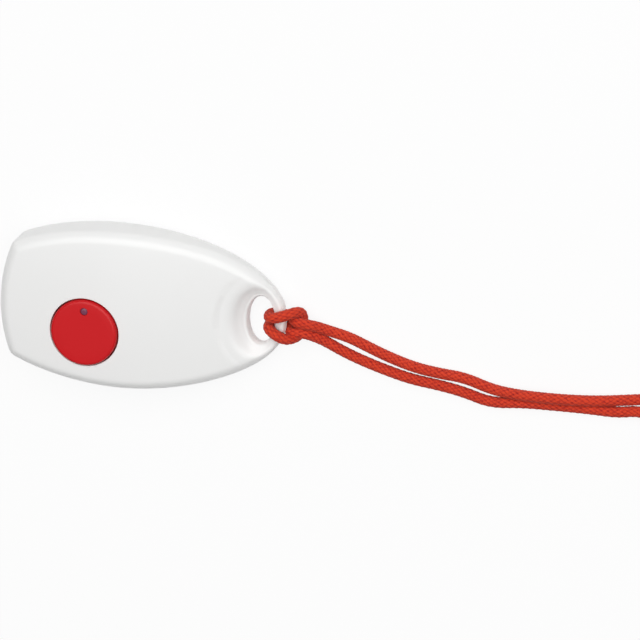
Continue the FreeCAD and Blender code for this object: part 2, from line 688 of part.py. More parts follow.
def small_parts():
    """Row of chip resistors and capacitors beside the switch."""
    parts = []
    for index in range(SMALL_PART_COUNT):
        x = SMALL_PART_LEFT + index * SMALL_PART_PITCH
        y = SMALL_PART_Y
        parts.append(block(x - SMALL_PART_WIDTH / 2, x + SMALL_PART_WIDTH / 2, y - SMALL_PART_LENGTH / 2,
                           y + SMALL_PART_LENGTH / 2, BOARD_TOP, BOARD_TOP + SMALL_PART_HEIGHT))
    return Part.makeCompound(parts)


def contact_centre():
    """Leaf under the board that bears on the cell's cap: soldered foot, slope and lifted tongue."""
    t = CONTACT_THICKNESS
    top = BOARD_BOTTOM
    low = CELL_TOP
    slope_low = CELL_X + CONTACT_THICKNESS
    slope_high = slope_low - CONTACT_SLOPE
    foot_end = slope_high - CONTACT_FOOT
    flat_end = slope_low + CONTACT_FLAT
    tip = flat_end + CONTACT_TONGUE
    profile = [
        V(foot_end, 0, top), V(slope_high + t / 2, 0, top), V(slope_low + t / 2, 0, low + t),
        V(flat_end, 0, low + t), V(tip, 0, low + 3 * t), V(tip, 0, low + 2 * t), V(flat_end, 0, low),
        V(slope_low - t / 2, 0, low), V(slope_high - t / 2, 0, top - t), V(foot_end, 0, top - t),
    ]
    outline = Part.makePolygon(profile + profile[:1])
    leaf = Part.Face(outline).extrude(V(0, CONTACT_WIDTH, 0))
    leaf.translate(V(0, CELL_Y - CONTACT_WIDTH / 2, 0))
    return leaf


def contact_side():
    """Angle clip under the board whose leg bears on the side of the cell's can."""
    t = CONTACT_THICKNESS
    x = CELL_X + CELL_RADIUS + CLIP_GAP
    half = CONTACT_WIDTH / 2
    foot = block(x, x + CLIP_FOOT, CELL_Y - half, CELL_Y + half, BOARD_BOTTOM - t, BOARD_BOTTOM)
    leg = block(x, x + t, CELL_Y - half, CELL_Y + half, DOOR_CUP_HEIGHT + CLIP_RISE, BOARD_BOTTOM)
    return foot.fuse(leg).removeSplitter()


def case_screw(x, y):
    """Pan-head screw with a cross recess, its head sunk in the back."""
    seat = SCREW_SEAT
    head_low = seat - SCREW_HEAD_HEIGHT
    head = disc(SCREW_HEAD_DIAMETER / 2, head_low, seat, x, y)
    head = head.makeFillet(SCREW_HEAD_EDGE, [edge for edge in head.Edges if edge.BoundBox.ZMax < head_low + 1e-3])
    tip = seat + SCREW_LENGTH
    shank = disc(SCREW_DIAMETER / 2, seat, tip, x, y)
    shank = shank.makeChamfer(SCREW_TIP_CHAMFER, [edge for edge in shank.Edges if edge.BoundBox.ZMin > tip - 1e-3])
    screw = head.fuse(shank)
    arm = SCREW_CROSS / 2
    thin = SCREW_CROSS_WIDTH / 2
    depth = head_low + SCREW_HEAD_HEIGHT / 2
    screw = screw.cut(block(x - arm, x + arm, y - thin, y + thin, head_low - 1, depth))
    return screw.cut(block(x - thin, x + thin, y - arm, y + arm, head_low - 1, depth))


def rounded_route(points):
    """Straight runs joined by arcs that touch them, each as large as its two runs allow."""
    corners = [V(*point) for point in points]
    edges = []
    radii = []
    start = corners[0]
    for before, corner, after in zip(corners, corners[1:], corners[2:]):
        inward = (corner - before).normalize()
        outward = (after - corner).normalize()
        half_turn = inward.getAngle(outward) / 2
        reach = 0.45 * min(before.distanceToPoint(corner), corner.distanceToPoint(after))
        radius = reach / math.tan(half_turn)
        enter = corner - inward * reach
        leave = corner + outward * reach
        inside = (outward - inward).normalize()
        middle = corner + inside * (radius / math.cos(half_turn) - radius)
        edges.append(Part.LineSegment(start, enter).toShape())
        edges.append(Part.Arc(enter, middle, leave).toShape())
        radii.append(radius)
        start = leave
    edges.append(Part.LineSegment(start, corners[-1]).toShape())
    return Part.Wire(edges), radii


def cord_tube(name, points):
    """Plain tube along a chosen route; prints its length, its radii and a check of its volume."""
    spine, radii = rounded_route(points)
    direction = V(*points[1]) - V(*points[0])
    section = Part.Wire([Part.makeCircle(CORD_RADIUS, V(*points[0]), direction)])
    tube = spine.makePipeShell([section], True, False)
    ratio = tube.Volume / (math.pi * CORD_RADIUS ** 2 * spine.Length)
    print(name, "length", round(spine.Length, 1), "volume over section times length", round(ratio, 4))
    print("   radii", " ".join(f"{radius:.1f}" for radius in radii))
    return tube


def tie_block(half_across, low, high):
    """Block across the coil's section, where the tie goes round it on the side away from the knot."""
    x = COIL_CENTRE.x + COIL_MEAN_RADIUS
    y = COIL_CENTRE.y
    return block(x - half_across, x + half_across, y - TIE_WIDTH / 2, y + TIE_WIDTH / 2, low, high)


def tie_core():
    """The part of the coil's section that the tie draws together."""
    core = tie_block(COIL_HALF_ACROSS - TIE_THICKNESS, TIE_THICKNESS, COIL_HEIGHT - TIE_THICKNESS)
    return core.makeFillet(COIL_EDGE_RADIUS, [edge for edge in core.Edges if edge.BoundBox.YLength > TIE_WIDTH / 2])


def cord_coil():
    """Outer shape of the neat coil that holds the rest of the cord, drawn in under its tie."""
    coil = ring(COIL_MEAN_RADIUS + COIL_HALF_ACROSS, COIL_MEAN_RADIUS - COIL_HALF_ACROSS, 0, COIL_HEIGHT)
    rims = [edge for edge in coil.Edges if edge.BoundBox.ZLength < 1e-4]
    coil = coil.makeFillet(COIL_EDGE_RADIUS, rims)
    coil.translate(V(COIL_CENTRE.x, COIL_CENTRE.y, 0))
    return coil.cut(tie_block(2 * COIL_HALF_ACROSS, -1, COIL_HEIGHT + 1).cut(tie_core()))


def cord_tie():
    """Flat tie round all the turns of the coil."""
    band = tie_block(COIL_HALF_ACROSS, 0, COIL_HEIGHT)
    corners = [edge for edge in band.Edges if edge.BoundBox.YLength > TIE_WIDTH / 2]
    return band.makeFillet(COIL_EDGE_RADIUS + TIE_THICKNESS, corners).cut(tie_core())


def cord_knot():
    """Rounded lump of the knot that joins the cord's two ends, lying on the surface."""
    knot = Part.makeSphere(0.5)
    matrix = FreeCAD.Matrix()
    matrix.scale(KNOT_LENGTH, KNOT_WIDTH, KNOT_HEIGHT)
    knot = knot.transformGeometry(matrix)
    knot.translate(KNOT_CENTRE)
    return knot


def build():
    form = outer_form()
    hollow = cavity()
    nodes = {
        "front_shell": front_shell(form, hollow),
        "back_shell": back_shell(form, hollow),
        "battery_door": battery_door(),
        "coin_cell": coin_cell(),
        "button_cap": button_cap(),
        "light_pipe": light_pipe(),
        "switch_plunger": switch_plunger(),
        "switch_body": switch_body(),
        "switch_cover": switch_cover(),
        "switch_pins": switch_pins(),
        "circuit_board": circuit_board(),
        "status_lamp": status_lamp(),
        "encoder_chip": encoder_chip(),
        "resonator_can": resonator(),
        "antenna_wire": antenna_wire(),
        "chip_parts": small_parts(),
        "contact_centre": contact_centre(),
        "contact_side": contact_side(),
        "cord_long": cord_tube("cord_long", LONG_ROUTE),
        "cord_short": cord_tube("cord_short", SHORT_ROUTE),
        "cord_return": cord_tube("cord_return", RETURN_ROUTE),
        "cord_coil": cord_coil(),
        "cord_tie": cord_tie(),
        "cord_knot": cord_knot(),
    }
    for index, (x, y) in enumerate(SCREW_PLACES):
        nodes[f"case_screw_{index + 1}"] = case_screw(x, y)
    return nodes


os.makedirs("parts", exist_ok=True)
for name, shape in build().items():
    shape.exportStep(f"parts/{name}.step")
    print(name, "solids", len(shape.Solids), "valid", shape.isValid(), "volume", round(shape.Volume, 1))
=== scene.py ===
import math

import bmesh
import bpy
import numpy as np
from bpy.props import FloatProperty, FloatVectorProperty, IntProperty, PointerProperty
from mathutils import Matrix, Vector, geometry


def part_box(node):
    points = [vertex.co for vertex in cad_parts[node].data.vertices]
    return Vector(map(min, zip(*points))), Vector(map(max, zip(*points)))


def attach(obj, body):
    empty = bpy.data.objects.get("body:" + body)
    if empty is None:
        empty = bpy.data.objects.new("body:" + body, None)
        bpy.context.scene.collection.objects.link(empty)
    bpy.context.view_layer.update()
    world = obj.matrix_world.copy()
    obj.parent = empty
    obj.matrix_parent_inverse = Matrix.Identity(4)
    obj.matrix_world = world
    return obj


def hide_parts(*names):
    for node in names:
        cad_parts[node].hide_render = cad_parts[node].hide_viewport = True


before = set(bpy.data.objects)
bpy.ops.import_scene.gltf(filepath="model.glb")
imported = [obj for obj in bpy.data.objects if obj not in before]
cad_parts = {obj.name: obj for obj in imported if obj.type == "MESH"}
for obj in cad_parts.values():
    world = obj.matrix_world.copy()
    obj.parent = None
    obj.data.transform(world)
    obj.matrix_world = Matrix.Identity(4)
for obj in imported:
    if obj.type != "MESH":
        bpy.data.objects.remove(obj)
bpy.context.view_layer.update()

bl_info = {
    "name": "Wireless call button",
    "version": (1, 0, 0),
    "blender": (4, 5, 0),
    "location": "View3D > Sidebar > Call button",
    "description": "Dresses the packed model of a call button on a neck cord",
    "category": "Object",
}

MM = 0.001
HOUSING = "housing"

# Plan and heights of the moulding, in millimetres, as the CAD has them
LENGTH = 83.3
WIDTH = 47.2
NOSE_SEMI_AXIS = 47.5
END_RADIUS = 47.0
CORNER_RADIUS = 3.6
BLUNT_HEIGHT = 14.7
FACE_HEIGHT = 15.2
TIP_HEIGHT = 6.8
FALL_START = -16.0
CROWN_RADIUS = 290.0
FALL_EASE = 1.3
SPLIT_HEIGHT = 4.1
# How far in from the outline the back draft still moves a point
DRAFT_REACH = 3.0
EYELET_X = 34.2
EYELET_SEMI_X = 3.85
EYELET_SEMI_Y = 7.05
EYELET_RIM_HEIGHT = 5.2
SCOOP_WIDTH = 5.4
SCOOP_TILT = 7.5
# Beyond its last row the scoop goes on at this slope
SCOOP_SLOPE = 1.2
# Share of the scoop's width, share of its rise and share of its tilt
SCOOP_FLANK = (
    (0.0, -0.5, 0.0),
    (0.055, -0.14, 0.0),
    (0.2, 0.06, 0.15),
    (0.45, 0.38, 0.45),
    (0.7, 0.76, 0.75),
    (0.95, 0.99, 0.95),
    (1.45, 1.1, 1.0),
)
BUTTON_X = -15.5
BUTTON_Y = -6.8
BUTTON_RADIUS = 10.0
WELL_RADIUS = BUTTON_RADIUS + 0.25
COLLAR_WALL = 1.2
COLLAR_DEPTH = 4.6
CAP_WALL = 1.4
FLANGE_WIDTH = 1.0
FLANGE_HEIGHT = 1.1
POST_RADIUS = 1.7
PIPE_OFFSET = 6.5
BORE_DEPTH = 3.0
BORE_ABOVE = 1.0
# Radius and height over the cap's top, and over the middle of the lens
BORE_MOUTH = ((1.1, -0.12), (1.28, 0.06))
LENS_DOME = ((0.0, 0.0), (0.35, -0.01), (0.7, -0.05), (0.95, -0.12), (1.08, -0.25))

# How finely the front moulding is set out: counts of rings and points, and gaps in millimetres
OUTLINE_STEP = 0.5
OVAL_HALVINGS = 50
CORNER_HALVINGS = 60
RIM_RINGS = 15
WELL_RINGS = 6
WELL_POINTS = 180
HOLE_POINTS = 120
SCOOP_GROWTHS = (0.04, 0.1, 0.2, 0.32, 0.5, 0.7, 0.95, 1.2, 1.5, 1.85, 2.2, 2.6, 3.0, 3.4, 3.8,
                 4.2, 4.6, 5.0, 5.4, 5.8, 6.2, 6.7, 7.2, 7.7)
# Points round an oval: at the hole, more for each millimetre that it has grown, and times this
SCOOP_POINTS = 24
SCOOP_POINTS_PER_MM = 5.2
SCOOP_DENSITY = 3.2
WELL_MARGINS = (0.7, 1.1, 1.6, 2.3)
MARGIN_POINTS = 96
GRID_PITCH = 0.95
ROW_SHARE = 0.866
GRID_FROM_HOLE = 8.2
GRID_FROM_WELL = 2.8
GRID_FROM_RIM = 0.12
SEAM_CHAMFER = 0.15
# Least height of the skin over the seam, and of the side over its chamfer
LEAST_SIDE = 0.02
LEAST_LIFT = 0.01
# How far the chords of the well's ring may fall inside its arc
ARC_SLACK = 0.003
CAP_STEPS = 192
PIPE_STEPS = 64

# Sizes of the patterns. A tool's grain and a metal's marks are really about 0.05 mm, and are drawn
# as coarse as they need to show
TOOL_GRAIN_MM = 0.25
METAL_MARK_MM = 0.3
FLOW_MM = 18.0
WORN_PATCH_MM = 0.9
TAPE_THREAD_MM = 0.3
TRACK_MM = 3.03
# Waves to a plait: bands about 0.12 mm apart, as its threads are
THREAD_WAVES = 6.0

# The cord's control points, in metres, as the CAD has them, but for nine at the hitch and two ends
# at the knot, which are moved by up to 2 mm
LONG_ROUTE = (
    (0.04575, -0.0007, 0.00155),
    (0.04575, 0.0019, 0.00155),
    (0.0450, 0.0036, 0.0039),
    (0.0429, 0.0034, 0.0068),
    (0.0397, 0.0022, 0.0076),
    (0.03715, 0.0016, 0.0068),
    (0.0363, 0.00156, 0.0042),
    (0.0368, 0.00156, 0.00175),
    (0.0400, 0.0015, 0.0015),
    (0.0427, 0.0012, 0.00175),
    (0.0441, 0.0006, 0.0046),
    (0.0475, 0.0004, 0.0052),
    (0.0502, -0.0004, 0.0035),
    (0.0531, -0.0018, 0.0016),
    (0.0596, -0.0031, 0.0015),
    (0.0648, -0.0051, 0.0015),
    (0.0709, -0.0074, 0.0015),
    (0.0790, -0.0097, 0.0015),
    (0.0865, -0.0106, 0.0015),
    (0.0940, -0.0109, 0.0015),
    (0.1020, -0.0134, 0.0015),
    (0.1090, -0.0136, 0.0027),
    (0.1170, -0.01345, 0.0032),
    (0.1270, -0.01295, 0.0032),
    (0.1350, -0.0124, 0.0022),
    (0.1420, -0.0114, 0.0015),
    (0.1500, -0.0100, 0.0015),
    (0.1596, -0.0068, 0.0015),
    (0.1703, -0.0050, 0.0015),
)
SHORT_ROUTE = (
    (0.04575, -0.0007, 0.00155),
    (0.04575, -0.0032, 0.00155),
    (0.0442, -0.0045, 0.0037),
    (0.0421, -0.0045, 0.0066),
    (0.0394, -0.0031, 0.0076),
    (0.03715, -0.0018, 0.0068),
    (0.0363, -0.00156, 0.0042),
    (0.0368, -0.00156, 0.00175),
    (0.0400, -0.0015, 0.0015),
    (0.0420, -0.0024, 0.0015),
    (0.0428, -0.0032, 0.0040),
    (0.0468, -0.0023, 0.0048),
    (0.0501, -0.00365, 0.0031),
    (0.0530, -0.0053, 0.00155),
    (0.0578, -0.0075, 0.0015),
    (0.0634, -0.0095, 0.0015),
    (0.0705, -0.01155, 0.0015),
    (0.0785, -0.0134, 0.0015),
    (0.0865, -0.0141, 0.0015),
    (0.0940, -0.01525, 0.0015),
    (0.1020, -0.0175, 0.0015),
    (0.1110, -0.0162, 0.0015),
    (0.1210, -0.0158, 0.0015),
    (0.1310, -0.0155, 0.0015),
    (0.1390, -0.0156, 0.0015),
    (0.1455, -0.0141, 0.0015),
    (0.1510, -0.0149, 0.0026),
)
RETURN_ROUTE = (
    (0.16035, -0.0290, 0.0064),
    (0.1596, -0.0246, 0.0056),
    (0.1580, -0.0188, 0.0038),
)
COIL_CENTRE = (0.1810, -0.0235)
COIL_INNER_RADIUS = 0.0155
COIL_OUTER_RADIUS = 0.0185
COIL_LAYERS = 3
COIL_FIRST_HEIGHT = 0.0015
COIL_LAYER_STEP = 0.003
COIL_STEPS = 16
COIL_TURNS = 5.68
# Controls stand this much outside the round that they draw
COIL_BULGE = 1.012
# Steps along the cords, in metres: fine as far as the camera sees the long one, then coarse
LONG_SEEN = 0.165
# Longer than any line that is fine all along
WHOLE = 0.2
FINE_STEP = 0.0003
COARSE_STEP = 0.00045
KNOT_CENTRE = (0.1557, -0.0149, 0.0032)
# Size, rise and turn of the knot, in millimetres and degrees
KNOT_REACH = 1.32
KNOT_RISE = 1.75
KNOT_TURN = 30.0

# Where the camera stands, in metres, how it is turned, in degrees, and its lens on a 36 mm sensor
CAMERA_PLACE = (0.52143340, 0.66629615, 1.81612807)
CAMERA_TURN = (-18.98780031, 15.26486654, 2.14345123)
CAMERA_LENS = 391.25
LIGHT_AIM = (0.03, -0.005, 0.005)
SOFTBOX_DISTANCE = 1.1
FLOOR_SIZE = 6.0
# Just under the plaits that lie on it
FLOOR_LEVEL = -0.00015


def linear(code):
    """A colour written as sRGB hex, in linear light."""
    values = [int(code[i:i + 2], 16) / 255 for i in (0, 2, 4)]
    return [v / 12.92 if v <= 0.04045 else ((v + 0.055) / 1.055) ** 2.4 for v in values]


class CasingSettings(bpy.types.PropertyGroup):
    """Sizes and colour of the white moulding."""
    back_draft: FloatProperty(
        name="Back draft", description="How far the sides draw in to the back, in millimetres",
        default=0.7, min=0.0, max=1.0)
    rim_radius: FloatProperty(
        name="Rim radius", description="Rounding between face and sides, in millimetres",
        default=3.2, min=2.0, max=3.4)
    wall: FloatProperty(
        name="Wall", description="Thickness of the moulding, in millimetres",
        default=1.8, min=1.0, max=2.4)
    well_edge: FloatProperty(
        name="Well edge", description="Rounding of the edge round the button, in millimetres",
        default=0.2, min=0.05, max=0.8)
    scoop_blend: FloatProperty(
        name="Scoop blend", description="How softly scoop and face meet, in millimetres",
        default=0.9, min=0.1, max=2.0)
    colour: FloatVectorProperty(
        name="Casing colour", description="White of the moulded casing", subtype="COLOR",
        size=3, min=0, max=1, default=linear("F2F2F1"))


class ButtonSettings(bpy.types.PropertyGroup):
    """Sizes and colours of the push button."""
    edge_radius: FloatProperty(
        name="Edge radius", description="Rounding of the button's edge, in millimetres",
        default=0.9, min=0.1, max=1.2)
    shadow_gap: FloatProperty(
        name="Shadow gap", description="Width added to the dark line round it, in millimetres",
        default=0.15, min=0.0, max=0.3)
    sink: FloatProperty(
        name="Lens sink", description="Depth of the light pipe's end, in millimetres",
        default=0.15, min=0.0, max=0.5)
    colour: FloatVectorProperty(
        name="Button colour", description="Red of the push button", subtype="COLOR",
        size=3, min=0, max=1, default=linear("CE1A20"))
    lens_colour: FloatVectorProperty(
        name="Lens colour", description="Smoky tint of the light pipe's end", subtype="COLOR",
        size=3, min=0, max=1, default=linear("7A4258"))


class CordSettings(bpy.types.PropertyGroup):
    """Sizes and colours of the neck cord."""
    diameter: FloatProperty(
        name="Diameter", description="Outside of the braid", default=0.003, unit="LENGTH",
        min=0.001, max=0.006)
    plait_pitch: FloatProperty(
        name="Plait pitch", description="Length of one crossing of the braid", default=0.0020,
        unit="LENGTH", min=0.0005, max=0.005)
    relief: FloatProperty(
        name="Relief", description="Height of the plaits, as a share of the cord's radius",
        default=0.2, min=0, max=0.5)
    plaits: IntProperty(
        name="Plaits", description="Plaits side by side round the cord", default=8, min=4, max=16)
    tie_width: FloatProperty(
        name="Tie width", description="Width of the coil's tape", default=0.003, unit="LENGTH",
        min=0.001, max=0.01)
    tie_thickness: FloatProperty(
        name="Tie thickness", description="Thickness of the coil's tape", default=0.0004,
        unit="LENGTH", min=0.0001, max=0.001)
    colour: FloatVectorProperty(
        name="Cord colour", description="Orange-red of the plaits", subtype="COLOR",
        size=3, min=0, max=1, default=linear("DF4428"))
    # The crimson is painted shade, laid between the plaits where the braid's relief is low
    painted_shade_colour: FloatVectorProperty(
        name="Cord shade", description="Crimson between the plaits", subtype="COLOR",
        size=3, min=0, max=1, default=linear("921019"))


class StageSettings(bpy.types.PropertyGroup):
    """Light and floor."""
    key_power: FloatProperty(
        name="Key light", description="Power of the large softbox overhead, in watts",
        default=15.2, min=0)
    tip_fill: FloatProperty(
        name="Tip fill", description="Power of the softbox beyond the eyelet, in watts",
        default=2.4, min=0)
    near_fill: FloatProperty(
        name="Near fill", description="Power of the softbox on the viewer's side, in watts",
        default=1.0, min=0)
    room: FloatProperty(
        name="Room light", description="Strength of the even light all round", default=0.03, min=0)
    floor_white: FloatProperty(
        name="Floor white", description="Share of plain white in the floor's look", default=0.88,
        min=0, max=1, subtype="FACTOR")


def add_node(tree, kind, inputs=(), **settings):
    """Adds a node, with its settings, and gives its inputs values or links them to sockets."""
    made = tree.nodes.new(kind)
    for name, value in settings.items():
        setattr(made, name, value)
    for name, value in dict(inputs).items():
        if isinstance(value, bpy.types.NodeSocket):
            tree.links.new(value, made.inputs[name])
        else:
            made.inputs[name].default_value = value
    return made


def new_material(name):
    """An empty material and the tree that it is built in."""
    material = bpy.data.materials.new(name)
    material.use_nodes = True
    material.node_tree.nodes.clear()
    return material, material.node_tree


def close_material(tree, tone, colours, relief, relief_mm, strength, sockets):
    """Ends a material: tone mixes its two colours, relief raises it, and sockets hold the rest."""
    dark, light = colours
    mixed = add_node(tree, "ShaderNodeMix", {0: tone, 6: (*dark, 1), 7: (*light, 1)},
                     data_type="RGBA")
    bump = add_node(tree, "ShaderNodeBump", {
        "Height": relief, "Distance": relief_mm * MM, "Strength": strength})
    shader = add_node(tree, "ShaderNodeBsdfPrincipled", {
        "Base Color": mixed.outputs[2], "Normal": bump.outputs[0], **sockets})
    add_node(tree, "ShaderNodeOutputMaterial", {"Surface": shader.outputs[0]})


def object_space(tree, per_metre):
    """A pattern's place in the object's own space, with its repeats to the metre on each axis."""
    place = add_node(tree, "ShaderNodeTexCoord")
    return add_node(tree, "ShaderNodeMapping", {
        "Vector": place.outputs["Object"], "Scale": per_metre}).outputs[0]


def grains(tree, grain_mm, detail=3.0, stretch=(1, 1, 1)):
    """A cloudy pattern in the object's own space, with grains of about that size."""
    place = object_space(tree, [1 / (grain_mm * MM) * s for s in stretch])
    return add_node(tree, "ShaderNodeTexNoise", {
        "Vector": place, "Scale": 1.0, "Detail": detail}).outputs["Fac"]


def shades(colour, low, high):
    """A darker and a lighter shade of a colour."""
    return [[min(1.0, part * factor) for part in colour] for factor in (low, high)]


def moulded_plastic(name, colour, roughness, grain_mm=TOOL_GRAIN_MM, relief_mm=0.004, vary=0.04,
                    ior=1.53, gloss=0.5):
    """Moulded plastic: fine even grain from the tool, faint flow in its tone, soft gloss."""
    tree = new_material(name)[1]
    grain = grains(tree, grain_mm)
    flow = grains(tree, FLOW_MM, 2.0)
    rough = add_node(tree, "ShaderNodeMapRange", {
        "Value": grain, "To Min": roughness - 0.05, "To Max": roughness + 0.05})
    close_material(tree, flow, shades(colour, 1 - vary, 1 + vary), grain, relief_mm, 0.6, {
        "Roughness": rough.outputs[0], "IOR": ior, "Specular IOR Level": gloss})


def metal(name, colour, roughness, stretch=(1, 1, 1)):
    """Plated, rolled or drawn metal, with fine marks from its making."""
    tree = new_material(name)[1]
    marks = grains(tree, METAL_MARK_MM, 4.0, stretch)
    rough = add_node(tree, "ShaderNodeMapRange", {
        "Value": marks, "To Min": roughness - 0.08, "To Max": roughness + 0.12})
    close_material(tree, marks, shades(colour, 0.85, 1.05), marks, 0.005, 0.5, {
        "Roughness": rough.outputs[0], "Metallic": 1.0})


def circuit_lacquer(name):
    """Green solder lacquer over copper tracks, which show as paler lines."""
    tree = new_material(name)[1]
    tracks_per_metre = 1 / (TRACK_MM * MM)
    place = object_space(tree, (tracks_per_metre, tracks_per_metre, 1))
    cells = add_node(tree, "ShaderNodeTexVoronoi", {"Vector": place, "Scale": 1.0},
                     distance="CHEBYCHEV", feature="F1")
    tracks = add_node(tree, "ShaderNodeMath", {0: cells.outputs["Distance"], 1: 0.33},
                      operation="GREATER_THAN").outputs[0]
    close_material(tree, tracks, (linear("0B4A26"), linear("1C6B38")), tracks, 0.03, 0.5,
                   {"Roughness": 0.3})


def polyester_braid(name, settings):
    """Braided polyester: plaits of fine threads, with painted light on their backs and painted
    crimson shade between them, both set by the plaits' relief.
    """
    tree = new_material(name)[1]
    uv = add_node(tree, "ShaderNodeUVMap", uv_map="braid")
    plait = add_node(tree, "ShaderNodeAttribute", attribute_name="plait")
    threads = add_node(tree, "ShaderNodeTexWave", {
        "Vector": uv.outputs[0], "Scale": THREAD_WAVES, "Distortion": 1.5, "Detail": 2.0},
        wave_type="BANDS", bands_direction="DIAGONAL")
    height = add_node(tree, "ShaderNodeMath", {
        0: plait.outputs["Fac"], 1: grains(tree, WORN_PATCH_MM, 4.0)}, operation="ADD")
    # Painted shade and light: crimson where the relief is low, between the plaits, lighter on the
    # plaits' backs; the worn patches add random tone on top
    painted_shade_and_patches = add_node(tree, "ShaderNodeMapRange", {
        "Value": height.outputs[0], "From Min": 0.6, "From Max": 1.35})
    close_material(tree, painted_shade_and_patches.outputs[0], (settings.painted_shade_colour, settings.colour),
                   threads.outputs["Fac"], 0.03, 0.7, {
                       "Roughness": 0.78, "Sheen Weight": 0.08, "Sheen Roughness": 0.5,
                       "Specular IOR Level": 0.2})


def woven_tape(name, colour):
    """Plain-woven cotton tape: threads over and under each other, dull and slightly fluffy."""
    tree = new_material(name)[1]
    place = object_space(tree, (1 / (TAPE_THREAD_MM * MM * 2 * math.pi),) * 3)
    along, across = [add_node(tree, "ShaderNodeTexWave", {
        "Vector": place, "Scale": 1.0, "Distortion": 0.4},
        bands_direction=way).outputs["Fac"] for way in "YZ"]
    weave = add_node(tree, "ShaderNodeMath", {0: along, 1: across},
                     operation="MULTIPLY").outputs[0]
    close_material(tree, weave, shades(colour, 0.8, 1.05), weave, 0.05, 0.7, {"Roughness": 0.85})


def deselect_all():
    """Back to object mode, with nothing selected."""
    if bpy.context.mode != "OBJECT":
        bpy.ops.object.mode_set(mode="OBJECT")
    bpy.ops.object.select_all(action="DESELECT")


def make_active(piece):
    """Selects this piece alone."""
    deselect_all()
    piece.select_set(True)
    bpy.context.view_layer.objects.active = piece


def settle(piece, name):
    """Puts the piece's place, turn and size into its mesh and names it."""
    make_active(piece)
    bpy.ops.object.transform_apply(location=True, rotation=True, scale=True)
    piece.name = name
    piece.data.name = name
    return piece


def apply_modifiers(piece):
    """Applies the piece's modifiers in their order."""
    make_active(piece)
    for modifier in list(piece.modifiers):
        bpy.ops.object.modifier_apply(modifier=modifier.name)


def smooth(piece, degrees):
    """Shades the piece smooth, with edges sharper than this left crisp."""
    make_active(piece)
    bpy.ops.object.shade_smooth_by_angle(angle=math.radians(degrees))


def finish_piece(piece, material, body=HOUSING, nodes=(), degrees=40):
    """Shades the piece, gives it material, and says what it rides on and replaces."""
    smooth(piece, degrees)
    piece.data.materials.clear()
    piece.data.materials.append(material)
    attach(piece, body)
    if nodes:
        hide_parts(*nodes)


def mesh_piece(name, vertices, faces):
    """A mesh object from lists of points and faces."""
    mesh = bpy.data.meshes.new(name)
    mesh.from_pydata([tuple(v) for v in vertices], [], [tuple(f) for f in faces])
    mesh.validate()
    mesh.update()
    piece = bpy.data.objects.new(name, mesh)
    bpy.context.scene.collection.objects.link(piece)
    return piece


def outward(piece):
    """Merges doubled points and turns all faces outward."""
    make_active(piece)
    bpy.ops.object.mode_set(mode="EDIT")
    bpy.ops.mesh.select_all(action="SELECT")
    bpy.ops.mesh.remove_doubles(threshold=1e-7)
    bpy.ops.mesh.normals_make_consistent(inside=False)
    bpy.ops.object.mode_set(mode="OBJECT")
    return piece


def copy_of_node(node, name):
    """A copy of a CAD node with its loose triangles joined, ready to be finished."""
    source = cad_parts[node]
    piece = bpy.data.objects.new(name, source.data.copy())
    bpy.context.scene.collection.objects.link(piece)
    make_active(piece)
    bpy.ops.object.mode_set(mode="EDIT")
    bpy.ops.mesh.select_all(action="SELECT")
    bpy.ops.mesh.remove_doubles(threshold=1e-6)
    bpy.ops.object.mode_set(mode="OBJECT")
    return piece


def turned(name, profile, centre, steps):
    """A closed solid turned about an upright axis, from (radius, height) in millimetres."""
    deselect_all()
    bpy.ops.mesh.primitive_plane_add(size=1.0, location=(0, 0, 0))
    piece = bpy.context.active_object
    shape = bmesh.new()
    points = [shape.verts.new((radius * MM, 0, height * MM)) for radius, height in profile]
    for start, end in zip(points, points[1:]):
        shape.edges.new((start, end))
    shape.to_mesh(piece.data)
    shape.free()
    screw = piece.modifiers.new("Turn", "SCREW")
    screw.axis = "Z"
    screw.steps = steps
    screw.render_steps = steps
    screw.use_merge_vertices = True
    screw.merge_threshold = 1e-6
    apply_modifiers(piece)
    piece.location = (centre[0] * MM, centre[1] * MM, 0)
    return outward(settle(piece, name))


def rounded_bar(name, size, centre, radius):
    """A bar along Y whose four long edges are rounded."""
    deselect_all()
    bpy.ops.mesh.primitive_cube_add(size=1.0)
    bar = bpy.context.active_object
    bar.scale = size
    bar.location = centre
    settle(bar, name)
    weights = bar.data.attributes.new("bevel_weight_edge", "FLOAT", "EDGE")
    for edge, weight in zip(bar.data.edges, weights.data):
        first, last = (bar.data.vertices[index].co for index in edge.vertices)
        weight.value = 1.0 if abs(first.y - last.y) > size[1] / 2 else 0.0
    bevel = bar.modifiers.new("Corners", "BEVEL")
    bevel.limit_method = "WEIGHT"
    bevel.width = radius
    bevel.segments = 6
    apply_modifiers(bar)
    return bar


def cut_with(piece, cutter):
    """Takes the cutter's shape out of the piece and deletes the cutter."""
    cut = piece.modifiers.new("Cut", "BOOLEAN")
    cut.object = cutter
    cut.operation = "DIFFERENCE"
    cut.solver = "EXACT"
    apply_modifiers(piece)
    bpy.data.objects.remove(cutter)


def quarter_round(radius, centre, start, end, count):
    """Points on an arc about centre between two angles in degrees."""
    angles = [math.radians(start + (end - start) * i / count) for i in range(count + 1)]
    return [(centre[0] + radius * math.cos(a), centre[1] + radius * math.sin(a)) for a in angles]


def smooth_curve(known_x, known_y, x):
    """Value of a smooth curve through the known points."""
    known_x = np.asarray(known_x, float)
    known_y = np.asarray(known_y, float)
    slopes = np.gradient(known_y, known_x)
    spans = np.clip(np.searchsorted(known_x, x) - 1, 0, len(known_x) - 2)
    width = known_x[spans + 1] - known_x[spans]
    t = np.clip((x - known_x[spans]) / width, 0, 1)
    low, high = known_y[spans], known_y[spans + 1]
    near = (2 * t ** 3 - 3 * t ** 2 + 1) * low + (t ** 3 - 2 * t ** 2 + t) * width * slopes[spans]
    far = (3 * t ** 2 - 2 * t ** 3) * high + (t ** 3 - t ** 2) * width * slopes[spans + 1]
    return near + far


